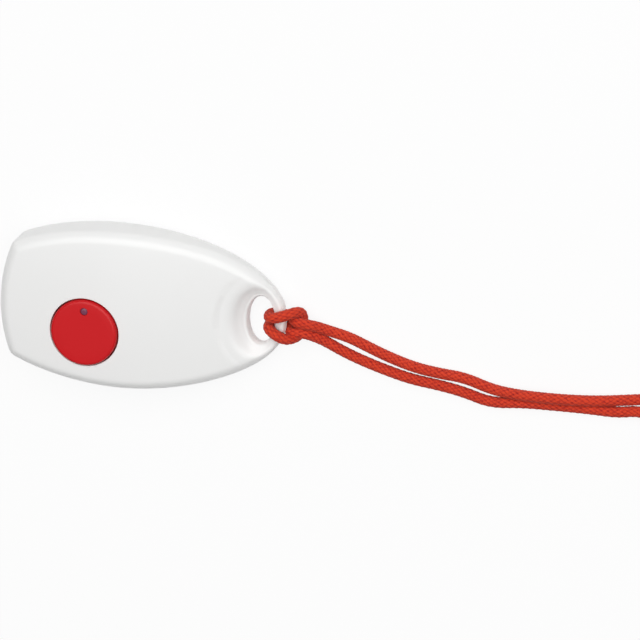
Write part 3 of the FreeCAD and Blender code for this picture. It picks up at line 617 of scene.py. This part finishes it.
def face_height(x):
    """The face along the centre line: level over the button, then falling to the tip."""
    fall = np.clip((x - FALL_START) / (LENGTH / 2 - FALL_START), 0, 1)
    eased = (3 * fall ** 2 - 2 * fall ** 3) ** FALL_EASE
    back = np.clip((FALL_START - x) / (FALL_START + LENGTH / 2), 0, None)
    to_tip = (FACE_HEIGHT - TIP_HEIGHT) * eased
    return FACE_HEIGHT - to_tip - (FACE_HEIGHT - BLUNT_HEIGHT) * back ** 2


def crowned(x, y):
    """The crowned face over each point of the plan."""
    return face_height(x) - y ** 2 / (2 * CROWN_RADIUS)


def oval_reach(x, y):
    """How far the oval through each point has grown from the eyelet's hole."""
    low = np.full(np.shape(x), -EYELET_SEMI_X + 0.01)
    high = np.full(np.shape(x), 120.0)
    for _ in range(OVAL_HALVINGS):
        middle = (low + high) / 2
        across, along = (x - EYELET_X) / (EYELET_SEMI_X + middle), y / (EYELET_SEMI_Y + middle)
        outside = across ** 2 + along ** 2 > 1
        low = np.where(outside, middle, low)
        high = np.where(outside, high, middle)
    return (low + high) / 2


def scoop_height(x, y):
    """The flared face of the scoop over each point."""
    grown = oval_reach(x, y) / SCOOP_WIDTH
    shares, lifts, turns = np.array(SCOOP_FLANK).T
    rise = float(face_height(np.array(EYELET_X))) - EYELET_RIM_HEIGHT
    level = EYELET_RIM_HEIGHT + rise * smooth_curve(shares, lifts, np.clip(grown, 0, shares[-1]))
    level = level + np.clip(grown - shares[-1], 0, None) * SCOOP_WIDTH * SCOOP_SLOPE
    tilt = np.radians(SCOOP_TILT * np.interp(grown, shares, turns))
    return level - (x - EYELET_X) * np.tan(tilt)


def soft_least(first, second, width):
    """The lesser of two heights, with the crease between them rounded."""
    share = np.clip(0.5 + 0.5 * (second - first) / width, 0, 1)
    return second * (1 - share) + first * share - width * share * (1 - share)


def outline_points(step):
    """The plan's outline, evenly spaced and anticlockwise from the tip, with its inward normals."""
    nose_x = LENGTH / 2 - NOSE_SEMI_AXIS
    end_x = END_RADIUS - LENGTH / 2
    half = WIDTH / 2

    def on_oval(t):
        place = np.array([nose_x + NOSE_SEMI_AXIS * math.cos(t), half * math.sin(t)])
        normal = np.array([math.cos(t) / NOSE_SEMI_AXIS, math.sin(t) / half])
        return place, -normal / np.linalg.norm(normal)

    low, high = math.pi / 2, math.pi - 0.05
    for _ in range(CORNER_HALVINGS):
        middle = (low + high) / 2
        place, inward = on_oval(middle)
        centre = place + inward * CORNER_RADIUS
        if math.hypot(centre[0] - end_x, centre[1]) > END_RADIUS - CORNER_RADIUS:
            high = middle
        else:
            low = middle
    turn = low
    place, inward = on_oval(turn)
    centre = place + inward * CORNER_RADIUS
    side_angle = math.atan2(-inward[1], -inward[0])
    end_angle = math.atan2(centre[1], centre[0] - end_x)
    fine = [on_oval(turn * i / 1500)[0] for i in range(1500)]
    fine += [centre + CORNER_RADIUS * np.array([math.cos(a), math.sin(a)])
             for a in np.linspace(side_angle, end_angle, 60)]
    fine += [np.array([end_x + END_RADIUS * math.cos(a), END_RADIUS * math.sin(a)])
             for a in np.linspace(end_angle, math.pi, 300)[1:]]
    upper = np.array(fine)
    lower = upper[-2:0:-1] * (1, -1)
    loop = np.vstack([upper, lower, upper[:1]])
    travel = np.concatenate([[0], np.cumsum(np.linalg.norm(np.diff(loop, axis=0), axis=1))])
    count = int(round(travel[-1] / step))
    marks = np.linspace(0, travel[-1], count, endpoint=False)
    even = np.column_stack([np.interp(marks, travel, loop[:, k]) for k in (0, 1)])
    tangents = np.roll(even, -1, axis=0) - np.roll(even, 1, axis=0)
    tangents /= np.linalg.norm(tangents, axis=1)[:, None]
    return even, np.column_stack([-tangents[:, 1], tangents[:, 0]])


def oval_ring(grow, count):
    """The eyelet's oval in plan, grown by so much, as evenly turned points."""
    angles = np.linspace(0, 2 * math.pi, count, endpoint=False)
    return np.column_stack([EYELET_X + (EYELET_SEMI_X + grow) * np.cos(angles),
                            (EYELET_SEMI_Y + grow) * np.sin(angles)])


def button_ring(radius, count):
    """A circle about the button's middle, in plan."""
    angles = np.linspace(0, 2 * math.pi, count, endpoint=False)
    return np.column_stack([BUTTON_X + radius * np.cos(angles),
                            BUTTON_Y + radius * np.sin(angles)])


def at_height(points, height):
    """Points of the plan, lifted to one height or to one for each."""
    return np.column_stack([points, np.broadcast_to(height, len(points))])


def nearest_edge(points, outline):
    """For each point the nearest of the outline's, the way from it and the distance."""
    gaps = points[:, None, :] - outline[None, :, :]
    depth = np.sqrt((gaps ** 2).sum(axis=2))
    nearest = depth.argmin(axis=1)
    return nearest, gaps[np.arange(len(points)), nearest], depth.min(axis=1)


def joined(loops):
    """Quads between each loop of points and the next one, which has the same count."""
    quads = []
    for low, high in zip(loops, loops[1:]):
        after = [*range(1, len(low)), 0]
        quads += [(low[i], low[j], high[j], high[i]) for i, j in enumerate(after)]
    return quads


class CALLBUTTON_OT_front_moulding(bpy.types.Operator):
    """Makes the front moulding: crowned face, rounded rim, button well and scooped eyelet"""
    bl_idname = "callbutton.front_moulding"
    bl_label = "Front moulding"

    # The face flows into the rim, the well and the scoop with no edge between them, so its points
    # are set out in plan along all of those curves and lifted to one height for each.
    def execute(self, context):
        settings = context.scene.callbutton_casing
        rim, wall, edge = settings.rim_radius, settings.wall, settings.well_edge
        outline, inward = outline_points(OUTLINE_STEP)
        count = len(outline)
        turns = np.linspace(0, math.pi / 2, RIM_RINGS)
        rings = [outline + inward * (rim * (1 - math.cos(turn))) for turn in turns]
        well_steps = edge * (1 - np.cos(np.linspace(0, math.pi / 2, WELL_RINGS)))
        well = [button_ring(WELL_RADIUS + step, WELL_POINTS) for step in well_steps]
        free = self.free_points(outline, inward, rim, WELL_RADIUS + edge)
        parts = [rings[-1], oval_ring(0.0, HOLE_POINTS), *well, free]
        starts = np.cumsum([0] + [len(part) for part in parts]).tolist()
        places, origin, faces = self.triangles(parts, starts)

        top, under = [], []
        for ring, turn in zip(rings[:-1], turns[:-1]):
            top.append(self.outside(ring, rim * (1 - math.sin(turn)), settings))
            inner = outline + inward * (wall + (rim - wall) * (1 - math.cos(turn)))
            under.append(self.inside(inner, (rim - wall) * (1 - math.sin(turn)), wall))
        top = np.vstack([*top, self.outside(places, 0.0, settings)])
        under = np.vstack([*under, self.inside(places, 0.0, wall)])

        face_start = count * (len(rings) - 1)
        loops = [range(start, start + count) for start in range(0, face_start, count)]
        loops.append([face_start + origin[i] for i in range(count)])
        skin = joined(loops) + [tuple(face_start + k for k in face) for face in faces]
        shift = len(top)
        closed = skin + [tuple(shift + k for k in reversed(face)) for face in skin]

        # The side, from the inner foot over the seam's chamfer up to the rim
        foot = SPLIT_HEIGHT + SEAM_CHAMFER
        top[:count, 2] = np.maximum(top[:count, 2], foot + LEAST_LIFT)
        side = [at_height(outline + inward * wall, SPLIT_HEIGHT),
                at_height(outline + inward * SEAM_CHAMFER, SPLIT_HEIGHT), at_height(outline, foot)]
        side += [at_height(outline, foot + (top[:count, 2] - foot) * share)
                 for share in (0.25, 0.5, 0.75)]
        loops = [range(shift, shift + count)]
        loops += [range(start, start + count)
                  for start in range(2 * shift, 2 * shift + len(side) * count, count)]
        closed += joined(loops + [range(count)])
        # The walls of the hole and of the well
        for start, part in zip(starts[1:3], parts[1:3]):
            loop = [face_start + origin[start + i] for i in range(len(part))]
            closed += joined([loop, [shift + k for k in loop]])
        piece = mesh_piece("front_moulding", np.vstack([top, under, *side]) * MM, closed)
        outward(piece)
        finish_piece(piece, bpy.data.materials["abs_white_casing"],
                     nodes=("front_shell",), degrees=40)
        return {"FINISHED"}

    @staticmethod
    def free_points(outline, inward, rim, edge_radius):
        """Points of the face between rim, well and hole, closest together on the scoop."""
        free = [oval_ring(grow, int((SCOOP_POINTS + SCOOP_POINTS_PER_MM * grow) * SCOOP_DENSITY))
                for grow in SCOOP_GROWTHS]
        free += [button_ring(edge_radius + extra, MARGIN_POINTS) for extra in WELL_MARGINS]
        rows = np.arange(-WIDTH / 2, WIDTH / 2, GRID_PITCH * ROW_SHARE)
        grid = np.array([(x + (row % 2) * GRID_PITCH / 2, y) for row, y in enumerate(rows)
                         for x in np.arange(-LENGTH / 2, LENGTH / 2, GRID_PITCH)])
        near_eyelet = oval_reach(grid[:, 0], grid[:, 1]) < GRID_FROM_HOLE
        from_button = np.hypot(grid[:, 0] - BUTTON_X, grid[:, 1] - BUTTON_Y)
        near_well = from_button < edge_radius + GRID_FROM_WELL
        free = np.vstack([*free, grid[~(near_eyelet | near_well)]])
        nearest, gaps, _ = nearest_edge(free, outline)
        return free[(gaps * inward[nearest]).sum(axis=1) > rim + GRID_FROM_RIM]

    @staticmethod
    def triangles(parts, starts):
        """Joins the plan's points by triangles and leaves the hole and the well open."""
        edges = []
        for start, part in zip(starts, parts[:-1]):
            edges += [(start + i, start + (i + 1) % len(part)) for i in range(len(part))]
        plan = [Vector(place) for place in np.vstack(parts).tolist()]
        result = geometry.delaunay_2d_cdt(plan, edges, [], 1, 1e-6)
        places = np.array([list(place) for place in result[0]])
        origin = {old: new for new, olds in enumerate(result[3]) for old in olds}
        faces = []
        for face in result[2]:
            x, y = places[list(face)].mean(axis=0)
            in_hole = oval_reach(np.array([x]), np.array([y]))[0] < 0
            in_well = math.hypot(x - BUTTON_X, y - BUTTON_Y) < WELL_RADIUS - ARC_SLACK
            if not in_hole and not in_well:
                faces.append(face)
        return places, origin, faces

    @staticmethod
    def outside(points, drop, settings):
        """The outer skin over each point, with the face lowered by drop for the rim."""
        x, y = points.T
        edge = settings.well_edge
        height = soft_least(crowned(x, y) - drop, scoop_height(x, y), settings.scoop_blend)
        to_well = np.hypot(x - BUTTON_X, y - BUTTON_Y) - WELL_RADIUS
        within = np.clip(edge - to_well, 0, edge)
        height = height - (edge - np.sqrt(np.clip(edge ** 2 - within ** 2, 0, None)))
        return at_height(points, np.maximum(height, SPLIT_HEIGHT + LEAST_SIDE))

    @staticmethod
    def inside(points, drop, wall):
        """The inner skin under each point: wall, button collar and solid end."""
        x, y = points.T
        solid = oval_reach(x, y) < SCOOP_WIDTH + wall
        height = np.where(solid, SPLIT_HEIGHT, crowned(x, y) - wall - drop)
        in_collar = np.hypot(x - BUTTON_X, y - BUTTON_Y) < WELL_RADIUS + COLLAR_WALL
        height = np.where(in_collar, FACE_HEIGHT - COLLAR_DEPTH, height)
        return at_height(points, np.maximum(height, SPLIT_HEIGHT))


class CALLBUTTON_OT_back_moulding(bpy.types.Operator):
    """Finishes the back moulding, the battery door and the case screws"""
    bl_idname = "callbutton.back_moulding"
    bl_label = "Back moulding and door"

    def execute(self, context):
        white = bpy.data.materials["abs_white_casing"]
        steel = bpy.data.materials["plated_steel_screws"]
        rows = [("back_moulding", "back_shell", white, "casing", HOUSING),
                ("coin_door", "battery_door", white, "door", "door")]
        rows += [(f"seam_screw_{k}", f"case_screw_{k}", steel, "screw_steel", HOUSING)
                 for k in (1, 2, 3)]
        for name, node, material, slot, body in rows:
            piece = copy_of_node(node, name)
            if node == "back_shell":
                self.draw_in(piece, context.scene.callbutton_casing.back_draft)
            finish_piece(piece, material, body, (node,), 30)
            # The wide flats keep their own normals, so that no shade runs out from a slot or hole
            flats = piece.modifiers.new("Flats", "WEIGHTED_NORMAL")
            flats.keep_sharp = True
            apply_modifiers(piece)
        return {"FINISHED"}

    @staticmethod
    def draw_in(piece, draft):
        """Draws the sides in from the seam to the back, less and less away from the outline."""
        outline, inward = outline_points(OUTLINE_STEP)
        places = np.array([v.co[:] for v in piece.data.vertices]) / MM
        nearest, _, depth = nearest_edge(places[:, :2], outline)
        share = np.clip(1 - depth / DRAFT_REACH, 0, 1)
        share = share * np.clip(1 - places[:, 2] / SPLIT_HEIGHT, 0, 1)
        places[:, :2] += inward[nearest] * (draft * share)[:, None]
        piece.data.vertices.foreach_set("co", (places * MM).ravel())
        piece.data.update()


class CALLBUTTON_OT_push_button(bpy.types.Operator):
    """Makes the red cap and the smoky end of its light pipe"""
    bl_idname = "callbutton.push_button"
    bl_label = "Push button"

    def execute(self, context):
        settings = context.scene.callbutton_button
        low, high = (np.array(corner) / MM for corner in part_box("button_cap"))
        top = high[2]
        flange = (high[0] - low[0]) / 2
        radius = flange - FLANGE_WIDTH - settings.shadow_gap
        flange_top = low[2] + FLANGE_HEIGHT
        plunger_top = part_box("switch_plunger")[1][2] / MM
        edge = settings.edge_radius
        skirt = radius - CAP_WALL
        profile = [(0.0, top), (radius * 0.35, top), (radius * 0.7, top)]
        profile += quarter_round(edge, (radius - edge, top - edge), 90, 0, 8)
        profile += [(radius, flange_top), (flange, flange_top), (flange, low[2]), (skirt, low[2]),
                    (skirt, top - CAP_WALL), (POST_RADIUS, top - CAP_WALL),
                    (POST_RADIUS, plunger_top), (0.0, plunger_top)]
        cap = turned("push_cap", profile, (BUTTON_X, BUTTON_Y), CAP_STEPS)
        pipe_place = (BUTTON_X, BUTTON_Y + PIPE_OFFSET)
        mouth = [(reach, top + lift) for reach, lift in BORE_MOUTH]
        bore_end, above = top - BORE_DEPTH, top + BORE_ABOVE
        bore = turned("pipe_bore", [(0.0, bore_end), (mouth[0][0], bore_end), *mouth,
                                    (mouth[-1][0], above), (0.0, above)], pipe_place, PIPE_STEPS)
        cut_with(cap, bore)
        finish_piece(cap, bpy.data.materials["abs_red_button"], "button",
                     ("button_cap",), 40)
        pipe_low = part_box("light_pipe")[0][2] / MM
        lens = [(reach, top - settings.sink + lift) for reach, lift in LENS_DOME]
        lens += [(lens[-1][0], pipe_low), (0.0, pipe_low)]
        pipe = turned("lamp_lens", lens, pipe_place, PIPE_STEPS)
        finish_piece(pipe, bpy.data.materials["acrylic_light_pipe"], "button",
                     ("light_pipe",), 40)
        return {"FINISHED"}


def line_through(points, name):
    """Points of the smooth line that has the given points as its controls."""
    curve = bpy.data.curves.new(name, "CURVE")
    curve.dimensions = "3D"
    spline = curve.splines.new("NURBS")
    spline.points.add(len(points) - 1)
    for control, place in zip(spline.points, points):
        control.co = (*place, 1.0)
    spline.order_u = 3
    spline.use_endpoint_u = True
    spline.resolution_u = 24
    holder = bpy.data.objects.new(name, curve)
    bpy.context.scene.collection.objects.link(holder)
    bpy.context.view_layer.update()
    drawn = holder.evaluated_get(bpy.context.evaluated_depsgraph_get())
    shape = bpy.data.meshes.new_from_object(drawn)
    line = np.array([v.co[:] for v in shape.vertices])
    bpy.data.meshes.remove(shape)
    bpy.data.objects.remove(holder)
    bpy.data.curves.remove(curve)
    keep = np.concatenate([[True], np.linalg.norm(np.diff(line, axis=0), axis=1) > 1e-7])
    return line[keep]


def even_line(line, fine_length, fine_step, coarse_step):
    """The line cut into short even steps, finer over its first stretch."""
    travel = np.concatenate([[0], np.cumsum(np.linalg.norm(np.diff(line, axis=0), axis=1))])
    total = travel[-1]
    fine_length = min(fine_length, total)
    marks = list(np.arange(0, fine_length, fine_step))
    marks += list(np.arange(fine_length, total - coarse_step / 2, coarse_step)) + [total]
    marks = np.array(marks)
    return np.column_stack([np.interp(marks, travel, line[:, k]) for k in range(3)]), marks


def braid_height(around, along):
    """Relief of a braid whose plaits cross over and under: 0 between plaits, 1 on their backs."""
    first = along + around
    second = along - around
    over = (np.floor(first) + np.floor(second)) % 2 == 0
    across = np.where(over, first, second) % 1.0
    run = np.where(over, second, first) % 1.0
    return np.sqrt(np.clip(1 - (2 * across - 1) ** 2, 0, 1)) * (0.55 + 0.45 * np.sin(math.pi * run))


def braided_tube(name, line, marks, settings, sides=36, twist=0.0):
    """A tube along the line with plaits in its surface, closed and rounded at its ends."""
    radius = settings.diameter / 2
    relief = settings.relief * radius
    heading = np.gradient(line, axis=0)
    heading /= np.linalg.norm(heading, axis=1)[:, None]
    across = np.cross(heading[0], (0, 0, 1.0))
    if np.linalg.norm(across) < 0.1:
        across = np.cross(heading[0], (0, 1.0, 0))
    across /= np.linalg.norm(across)
    angles = np.linspace(0, 2 * math.pi, sides, endpoint=False)
    vertices, heights = [], []
    for place, ahead, mark in zip(line, heading, marks):
        across = across - ahead * np.dot(across, ahead)
        across /= np.linalg.norm(across)
        up = np.cross(ahead, across)
        height = braid_height(settings.plaits * (angles / (2 * math.pi)) + twist,
                              mark / settings.plait_pitch)
        reach = radius + relief * (height - 0.5)
        ends = min(mark, marks[-1] - mark)
        if ends < radius * 0.5:
            share = 1 - ends / (radius * 0.5)
            reach = reach * (1 - 0.35 * share ** 2)
        vertices.append(place + np.outer(reach * np.cos(angles), across)
                        + np.outer(reach * np.sin(angles), up))
        heights.append(height)
    rings = len(vertices)
    vertices = np.vstack([*vertices, line[:1], line[-1:]])
    faces, uvs = [], []
    for level in range(rings - 1):
        near, far = (mark / settings.plait_pitch for mark in marks[level:level + 2])
        first = level * sides
        faces += joined([range(first, first + sides), range(first + sides, first + 2 * sides)])
        for i in range(sides):
            left, right = settings.plaits * i / sides, settings.plaits * (i + 1) / sides
            uvs += [(left, near), (right, near), (right, far), (left, far)]
    for i in range(sides):
        j = (i + 1) % sides
        last = (rings - 1) * sides
        faces += [(rings * sides, j, i), (rings * sides + 1, last + i, last + j)]
        uvs += [(0.5, 0.5), (0.6, 0.5), (0.5, 0.6)] * 2
    piece = mesh_piece(name, vertices, faces)
    layer = piece.data.uv_layers.new(name="braid")
    layer.data.foreach_set("uv", np.array(uvs, np.float32).ravel())
    # The plaits' relief, which also sets the painted shade between the plaits; the closed ends get
    # a low value and so are painted mostly in the shade colour
    plait = piece.data.attributes.new("plait", "FLOAT", "POINT")
    plait.data.foreach_set("value", np.concatenate([*heights, [0.2, 0.2]]).astype(np.float32))
    return piece


def coil_route():
    """Control points of the coil: six turns, two side by side in three layers, wound clockwise."""
    layers = ((COIL_OUTER_RADIUS, 0), (COIL_INNER_RADIUS, 0), (COIL_INNER_RADIUS, 1),
              (COIL_OUTER_RADIUS, 1), (COIL_INNER_RADIUS, 2), (COIL_OUTER_RADIUS, 2))
    points = []
    for index in range(1, int(COIL_STEPS * COIL_TURNS) + 1):
        turn, part = divmod(index, COIL_STEPS)
        radius, layer = layers[turn]
        if turn > 0 and part < 3:
            before, layer_before = layers[turn - 1]
            share = (part + 1) / 4
            radius = before + (radius - before) * share
            layer = layer_before + (layer - layer_before) * min(1.0, share * 1.4)
        angle = math.pi / 2 - index * 2 * math.pi / COIL_STEPS
        points.append((COIL_CENTRE[0] + radius * COIL_BULGE * math.cos(angle),
                       COIL_CENTRE[1] + radius * COIL_BULGE * math.sin(angle),
                       COIL_FIRST_HEIGHT + COIL_LAYER_STEP * layer))
    return points


class CALLBUTTON_OT_neck_cord(bpy.types.Operator):
    """Makes the neck cord's two strands, hitched through the eyelet, with their knot and coil"""
    bl_idname = "callbutton.neck_cord"
    bl_label = "Neck cord"

    def execute(self, context):
        settings = context.scene.callbutton_cord
        braid = bpy.data.materials["polyester_braid"]

        knot = self.knot(settings)
        finish_piece(knot, braid, nodes=("cord_knot",), degrees=60)
        tie = self.tie(settings)
        finish_piece(tie, bpy.data.materials["cotton_tape"], nodes=("cord_tie",),
                     degrees=40)

        long_line = line_through(LONG_ROUTE + tuple(coil_route()) + RETURN_ROUTE, "long_line")
        line, marks = even_line(long_line, LONG_SEEN, FINE_STEP, COARSE_STEP)
        long_cord = braided_tube("neck_cord_long", line, marks, settings)
        finish_piece(long_cord, braid,
                     nodes=("cord_long", "cord_coil", "cord_return"), degrees=60)

        short_line = line_through(SHORT_ROUTE, "short_line")
        line, marks = even_line(short_line, WHOLE, FINE_STEP, COARSE_STEP)
        short_cord = braided_tube("neck_cord_short", line, marks, settings, twist=0.37)
        finish_piece(short_cord, braid, nodes=("cord_short",), degrees=60)
        return {"FINISHED"}

    @staticmethod
    def path(line):
        """Every fourth point of a line, and its end."""
        return [tuple(p) for p in line[::4].tolist()] + [tuple(line[-1].tolist())]

    @staticmethod
    def knot(settings):
        """An overhand knot drawn tight: twice round, and past itself three times."""
        turns = np.linspace(0, 2 * math.pi, 22)
        across = KNOT_REACH * (np.sin(turns) + 2 * np.sin(2 * turns))
        along = KNOT_REACH * (np.cos(turns) - 2 * np.cos(2 * turns))
        ahead = math.radians(KNOT_TURN)
        points = np.column_stack([
            across * math.cos(ahead) - along * math.sin(ahead),
            across * math.sin(ahead) + along * math.cos(ahead),
            -KNOT_RISE * np.sin(3 * turns)]) * MM + np.array(KNOT_CENTRE)
        line, marks = even_line(line_through(points, "knot_line"), WHOLE, FINE_STEP, FINE_STEP)
        return braided_tube("cord_end_knot", line, marks, settings, sides=28)

    @staticmethod
    def tie(settings):
        """A flat tape drawn round all the turns of the coil, on the side away from the knot."""
        tape = settings.tie_thickness
        across = COIL_OUTER_RADIUS - COIL_INNER_RADIUS + settings.diameter
        height = COIL_LAYERS * settings.diameter
        x = COIL_CENTRE[0] + (COIL_OUTER_RADIUS + COIL_INNER_RADIUS) / 2
        outer = height + tape / 2
        band = rounded_bar("coil_tie", (across + tape, settings.tie_width, outer),
                           (x, COIL_CENTRE[1], outer / 2), settings.diameter * 0.55)
        inside = rounded_bar("tie_inside", (across - tape, 2 * settings.tie_width, height - tape),
                             (x, COIL_CENTRE[1], height / 2), settings.diameter * 0.45)
        cut_with(band, inside)
        return band


class CALLBUTTON_OT_inner_parts(bpy.types.Operator):
    """Gives the parts inside the casing their materials"""
    bl_idname = "callbutton.inner_parts"
    bl_label = "Parts inside"

    def execute(self, context):
        for material, nodes in (
                ("rolled_steel_cell", ("coin_cell", "switch_cover", "resonator_can")),
                ("nylon_black_switch", ("switch_plunger", "switch_body")),
                ("tinned_pins", ("switch_pins",)),
                ("lacquered_board", ("circuit_board",)),
                ("epoxy_lamp", ("status_lamp",)),
                ("epoxy_black_chip", ("encoder_chip",)),
                ("drawn_brass", ("antenna_wire", "contact_centre", "contact_side")),
                ("fired_ceramic", ("chip_parts",))):
            for node in nodes:
                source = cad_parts[node]
                source.data.materials.clear()
                source.data.materials.append(bpy.data.materials[material])
        return {"FINISHED"}


class CALLBUTTON_OT_finishes(bpy.types.Operator):
    """Makes the materials of all the pieces"""
    bl_idname = "callbutton.finishes"
    bl_label = "Finishes"

    def execute(self, context):
        scene = context.scene
        casing = scene.callbutton_casing
        button = scene.callbutton_button
        # Moulded ABS: an even white, with soft lights that follow the crown and the rim
        moulded_plastic("abs_white_casing", casing.colour, 0.3, vary=0.008)
        # Moulded ABS: a full red, duller than the casing, so that no veil lies on it
        moulded_plastic("abs_red_button", button.colour, 0.33, vary=0.03, gloss=0.25)
        # Moulded acrylic over an unlit lamp: a small smoky spot in the red
        moulded_plastic("acrylic_light_pipe", button.lens_colour, 0.16, relief_mm=0.001,
                        ior=1.49, gloss=0.35)
        # Moulded nylon: a dull black with next to no lights
        moulded_plastic("nylon_black_switch", linear("181818"), 0.55)
        # Moulded epoxy: a dark grey with a fine grit
        moulded_plastic("epoxy_black_chip", linear("1D1D1F"), 0.5, 0.12)
        # Cast clear epoxy: a small red dome with sharp lights
        moulded_plastic("epoxy_lamp", linear("B8281F"), 0.12, relief_mm=0.001)
        # Fired ceramic: a close-grained brown
        moulded_plastic("fired_ceramic", linear("6B5A45"), 0.45, 0.1)
        # Zinc-plated steel: a pale grey that stays bright in the screws' shadow
        metal("plated_steel_screws", linear("B9B9BB"), 0.3)
        # Rolled steel: bright, with streaks one way
        metal("rolled_steel_cell", linear("C4C3C0"), 0.25, (1, 8, 1))
        # Tinned wire: whiter than the steel
        metal("tinned_pins", linear("CFCFCC"), 0.3)
        # Drawn brass: a warm yellow with streaks along the wire
        metal("drawn_brass", linear("C9A65E"), 0.28, (8, 1, 1))
        # Solder lacquer on a glass-epoxy board: a deep green with paler tracks
        circuit_lacquer("lacquered_board")
        # Braided polyester: an orange-red net of plaits, dull, with painted crimson shade between
        # them and painted light on their backs
        polyester_braid("polyester_braid", scene.callbutton_cord)
        # Woven cotton: an off-white band that takes no lights
        woven_tape("cotton_tape", linear("EDECE6"))
        return {"FINISHED"}


class CALLBUTTON_OT_stage(bpy.types.Operator):
    """Makes the floor, the lights, the room light and the camera"""
    bl_idname = "callbutton.stage"
    bl_label = "Stage"

    def execute(self, context):
        scene = context.scene
        settings = scene.callbutton_stage
        camera_data = bpy.data.cameras.new("camera")
        camera_data.lens = CAMERA_LENS
        camera_data.sensor_width = 36.0
        camera_data.clip_end = 20.0
        camera = bpy.data.objects.new("camera", camera_data)
        camera.location = CAMERA_PLACE
        camera.rotation_euler = [math.radians(angle) for angle in CAMERA_TURN]
        scene.collection.objects.link(camera)
        scene.camera = camera
        scene.view_settings.view_transform = "Standard"

        deselect_all()
        bpy.ops.mesh.primitive_plane_add(size=FLOOR_SIZE, location=(0, 0, FLOOR_LEVEL))
        floor = settle(bpy.context.active_object, "floor")
        floor.data.materials.append(self.floor_material(settings))
        self.room(scene, settings)
        aim = Vector(LIGHT_AIM)
        for name, way, size, power in (
                ("overhead_softbox", (0.0, 0.45, 1.0), 1.4, settings.key_power),
                ("tip_softbox", (0.8, 0.2, 0.7), 1.2, settings.tip_fill),
                ("near_softbox", (0.0, -0.6, 0.8), 1.2, settings.near_fill)):
            self.softbox(name, aim, aim + Vector(way).normalized() * SOFTBOX_DISTANCE, size, power)
        return {"FINISHED"}

    @staticmethod
    def floor_material(settings):
        """White paint that shows mostly as plain white, and keeps the object's shadow."""
        material, tree = new_material("plain_white_floor")
        ray = add_node(tree, "ShaderNodeLightPath").outputs
        seen = ray["Is Camera Ray"]
        for kind in ("Is Glossy Ray", "Is Transmission Ray"):
            seen = add_node(tree, "ShaderNodeMath", {0: seen, 1: ray[kind]},
                            operation="MAXIMUM").outputs[0]
        share = add_node(tree, "ShaderNodeMath", {0: seen, 1: settings.floor_white},
                         operation="MULTIPLY")
        paint = add_node(tree, "ShaderNodeBsdfDiffuse", {"Color": (0.9, 0.9, 0.9, 1)})
        white = add_node(tree, "ShaderNodeEmission", {"Color": (1, 1, 1, 1), "Strength": 1.0})
        mixed = add_node(tree, "ShaderNodeMixShader", {
            0: share.outputs[0], 1: paint.outputs[0], 2: white.outputs[0]})
        add_node(tree, "ShaderNodeOutputMaterial", {"Surface": mixed.outputs[0]})
        return material

    @staticmethod
    def room(scene, settings):
        """A white backdrop, with a faint even light of its own on the object."""
        world = bpy.data.worlds.new("room")
        scene.world = world
        world.use_nodes = True
        tree = world.node_tree
        tree.nodes.clear()
        ray = add_node(tree, "ShaderNodeLightPath").outputs
        seen = add_node(tree, "ShaderNodeMath", {
            0: ray["Is Camera Ray"], 1: ray["Is Transmission Ray"]}, operation="MAXIMUM")
        even = add_node(tree, "ShaderNodeBackground", {
            "Color": (0.97, 0.985, 1.0, 1), "Strength": settings.room})
        white = add_node(tree, "ShaderNodeBackground", {"Color": (1, 1, 1, 1), "Strength": 1.0})
        mixed = add_node(tree, "ShaderNodeMixShader", {
            0: seen.outputs[0], 1: even.outputs[0], 2: white.outputs[0]})
        add_node(tree, "ShaderNodeOutputWorld", {"Surface": mixed.outputs[0]})

    @staticmethod
    def softbox(name, aim, place, size, power):
        """A square area light that faces the object."""
        light = bpy.data.lights.new(name, "AREA")
        light.shape = "SQUARE"
        light.size = size
        light.energy = power
        lamp = bpy.data.objects.new(name, light)
        lamp.location = place
        lamp.rotation_euler = (place - aim).to_track_quat("Z", "Y").to_euler()
        bpy.context.scene.collection.objects.link(lamp)


class CALLBUTTON_PT_panel(bpy.types.Panel):
    """Lists the steps that dress the call button"""
    bl_idname = "CALLBUTTON_PT_panel"
    bl_label = "Call button"
    bl_space_type = "VIEW_3D"
    bl_region_type = "UI"
    bl_category = "Call button"

    def draw(self, context):
        for group in GROUPS:
            settings = getattr(context.scene, f"callbutton_{group}")
            box = self.layout.box()
            for name in settings.__annotations__:
                box.prop(settings, name)
        for operator in OPERATORS:
            self.layout.operator(operator.bl_idname)


OPERATORS = (CALLBUTTON_OT_stage, CALLBUTTON_OT_finishes, CALLBUTTON_OT_neck_cord,
             CALLBUTTON_OT_front_moulding, CALLBUTTON_OT_back_moulding, CALLBUTTON_OT_push_button,
             CALLBUTTON_OT_inner_parts)
GROUPS = {"casing": CasingSettings, "button": ButtonSettings, "cord": CordSettings,
          "stage": StageSettings}


def register():
    for name, group in GROUPS.items():
        bpy.utils.register_class(group)
        setattr(bpy.types.Scene, f"callbutton_{name}", PointerProperty(type=group))
    for operator in OPERATORS:
        bpy.utils.register_class(operator)
    bpy.utils.register_class(CALLBUTTON_PT_panel)


def unregister():
    bpy.utils.unregister_class(CALLBUTTON_PT_panel)
    for operator in reversed(OPERATORS):
        bpy.utils.unregister_class(operator)
    for name, group in GROUPS.items():
        delattr(bpy.types.Scene, f"callbutton_{name}")
        bpy.utils.unregister_class(group)


def main():
    register()
    bpy.ops.callbutton.stage()
    bpy.ops.callbutton.finishes()
    bpy.ops.callbutton.neck_cord()
    bpy.ops.callbutton.front_moulding()
    bpy.ops.callbutton.back_moulding()
    bpy.ops.callbutton.push_button()
    bpy.ops.callbutton.inner_parts()
    deselect_all()


if __name__ == "__main__":
    main()
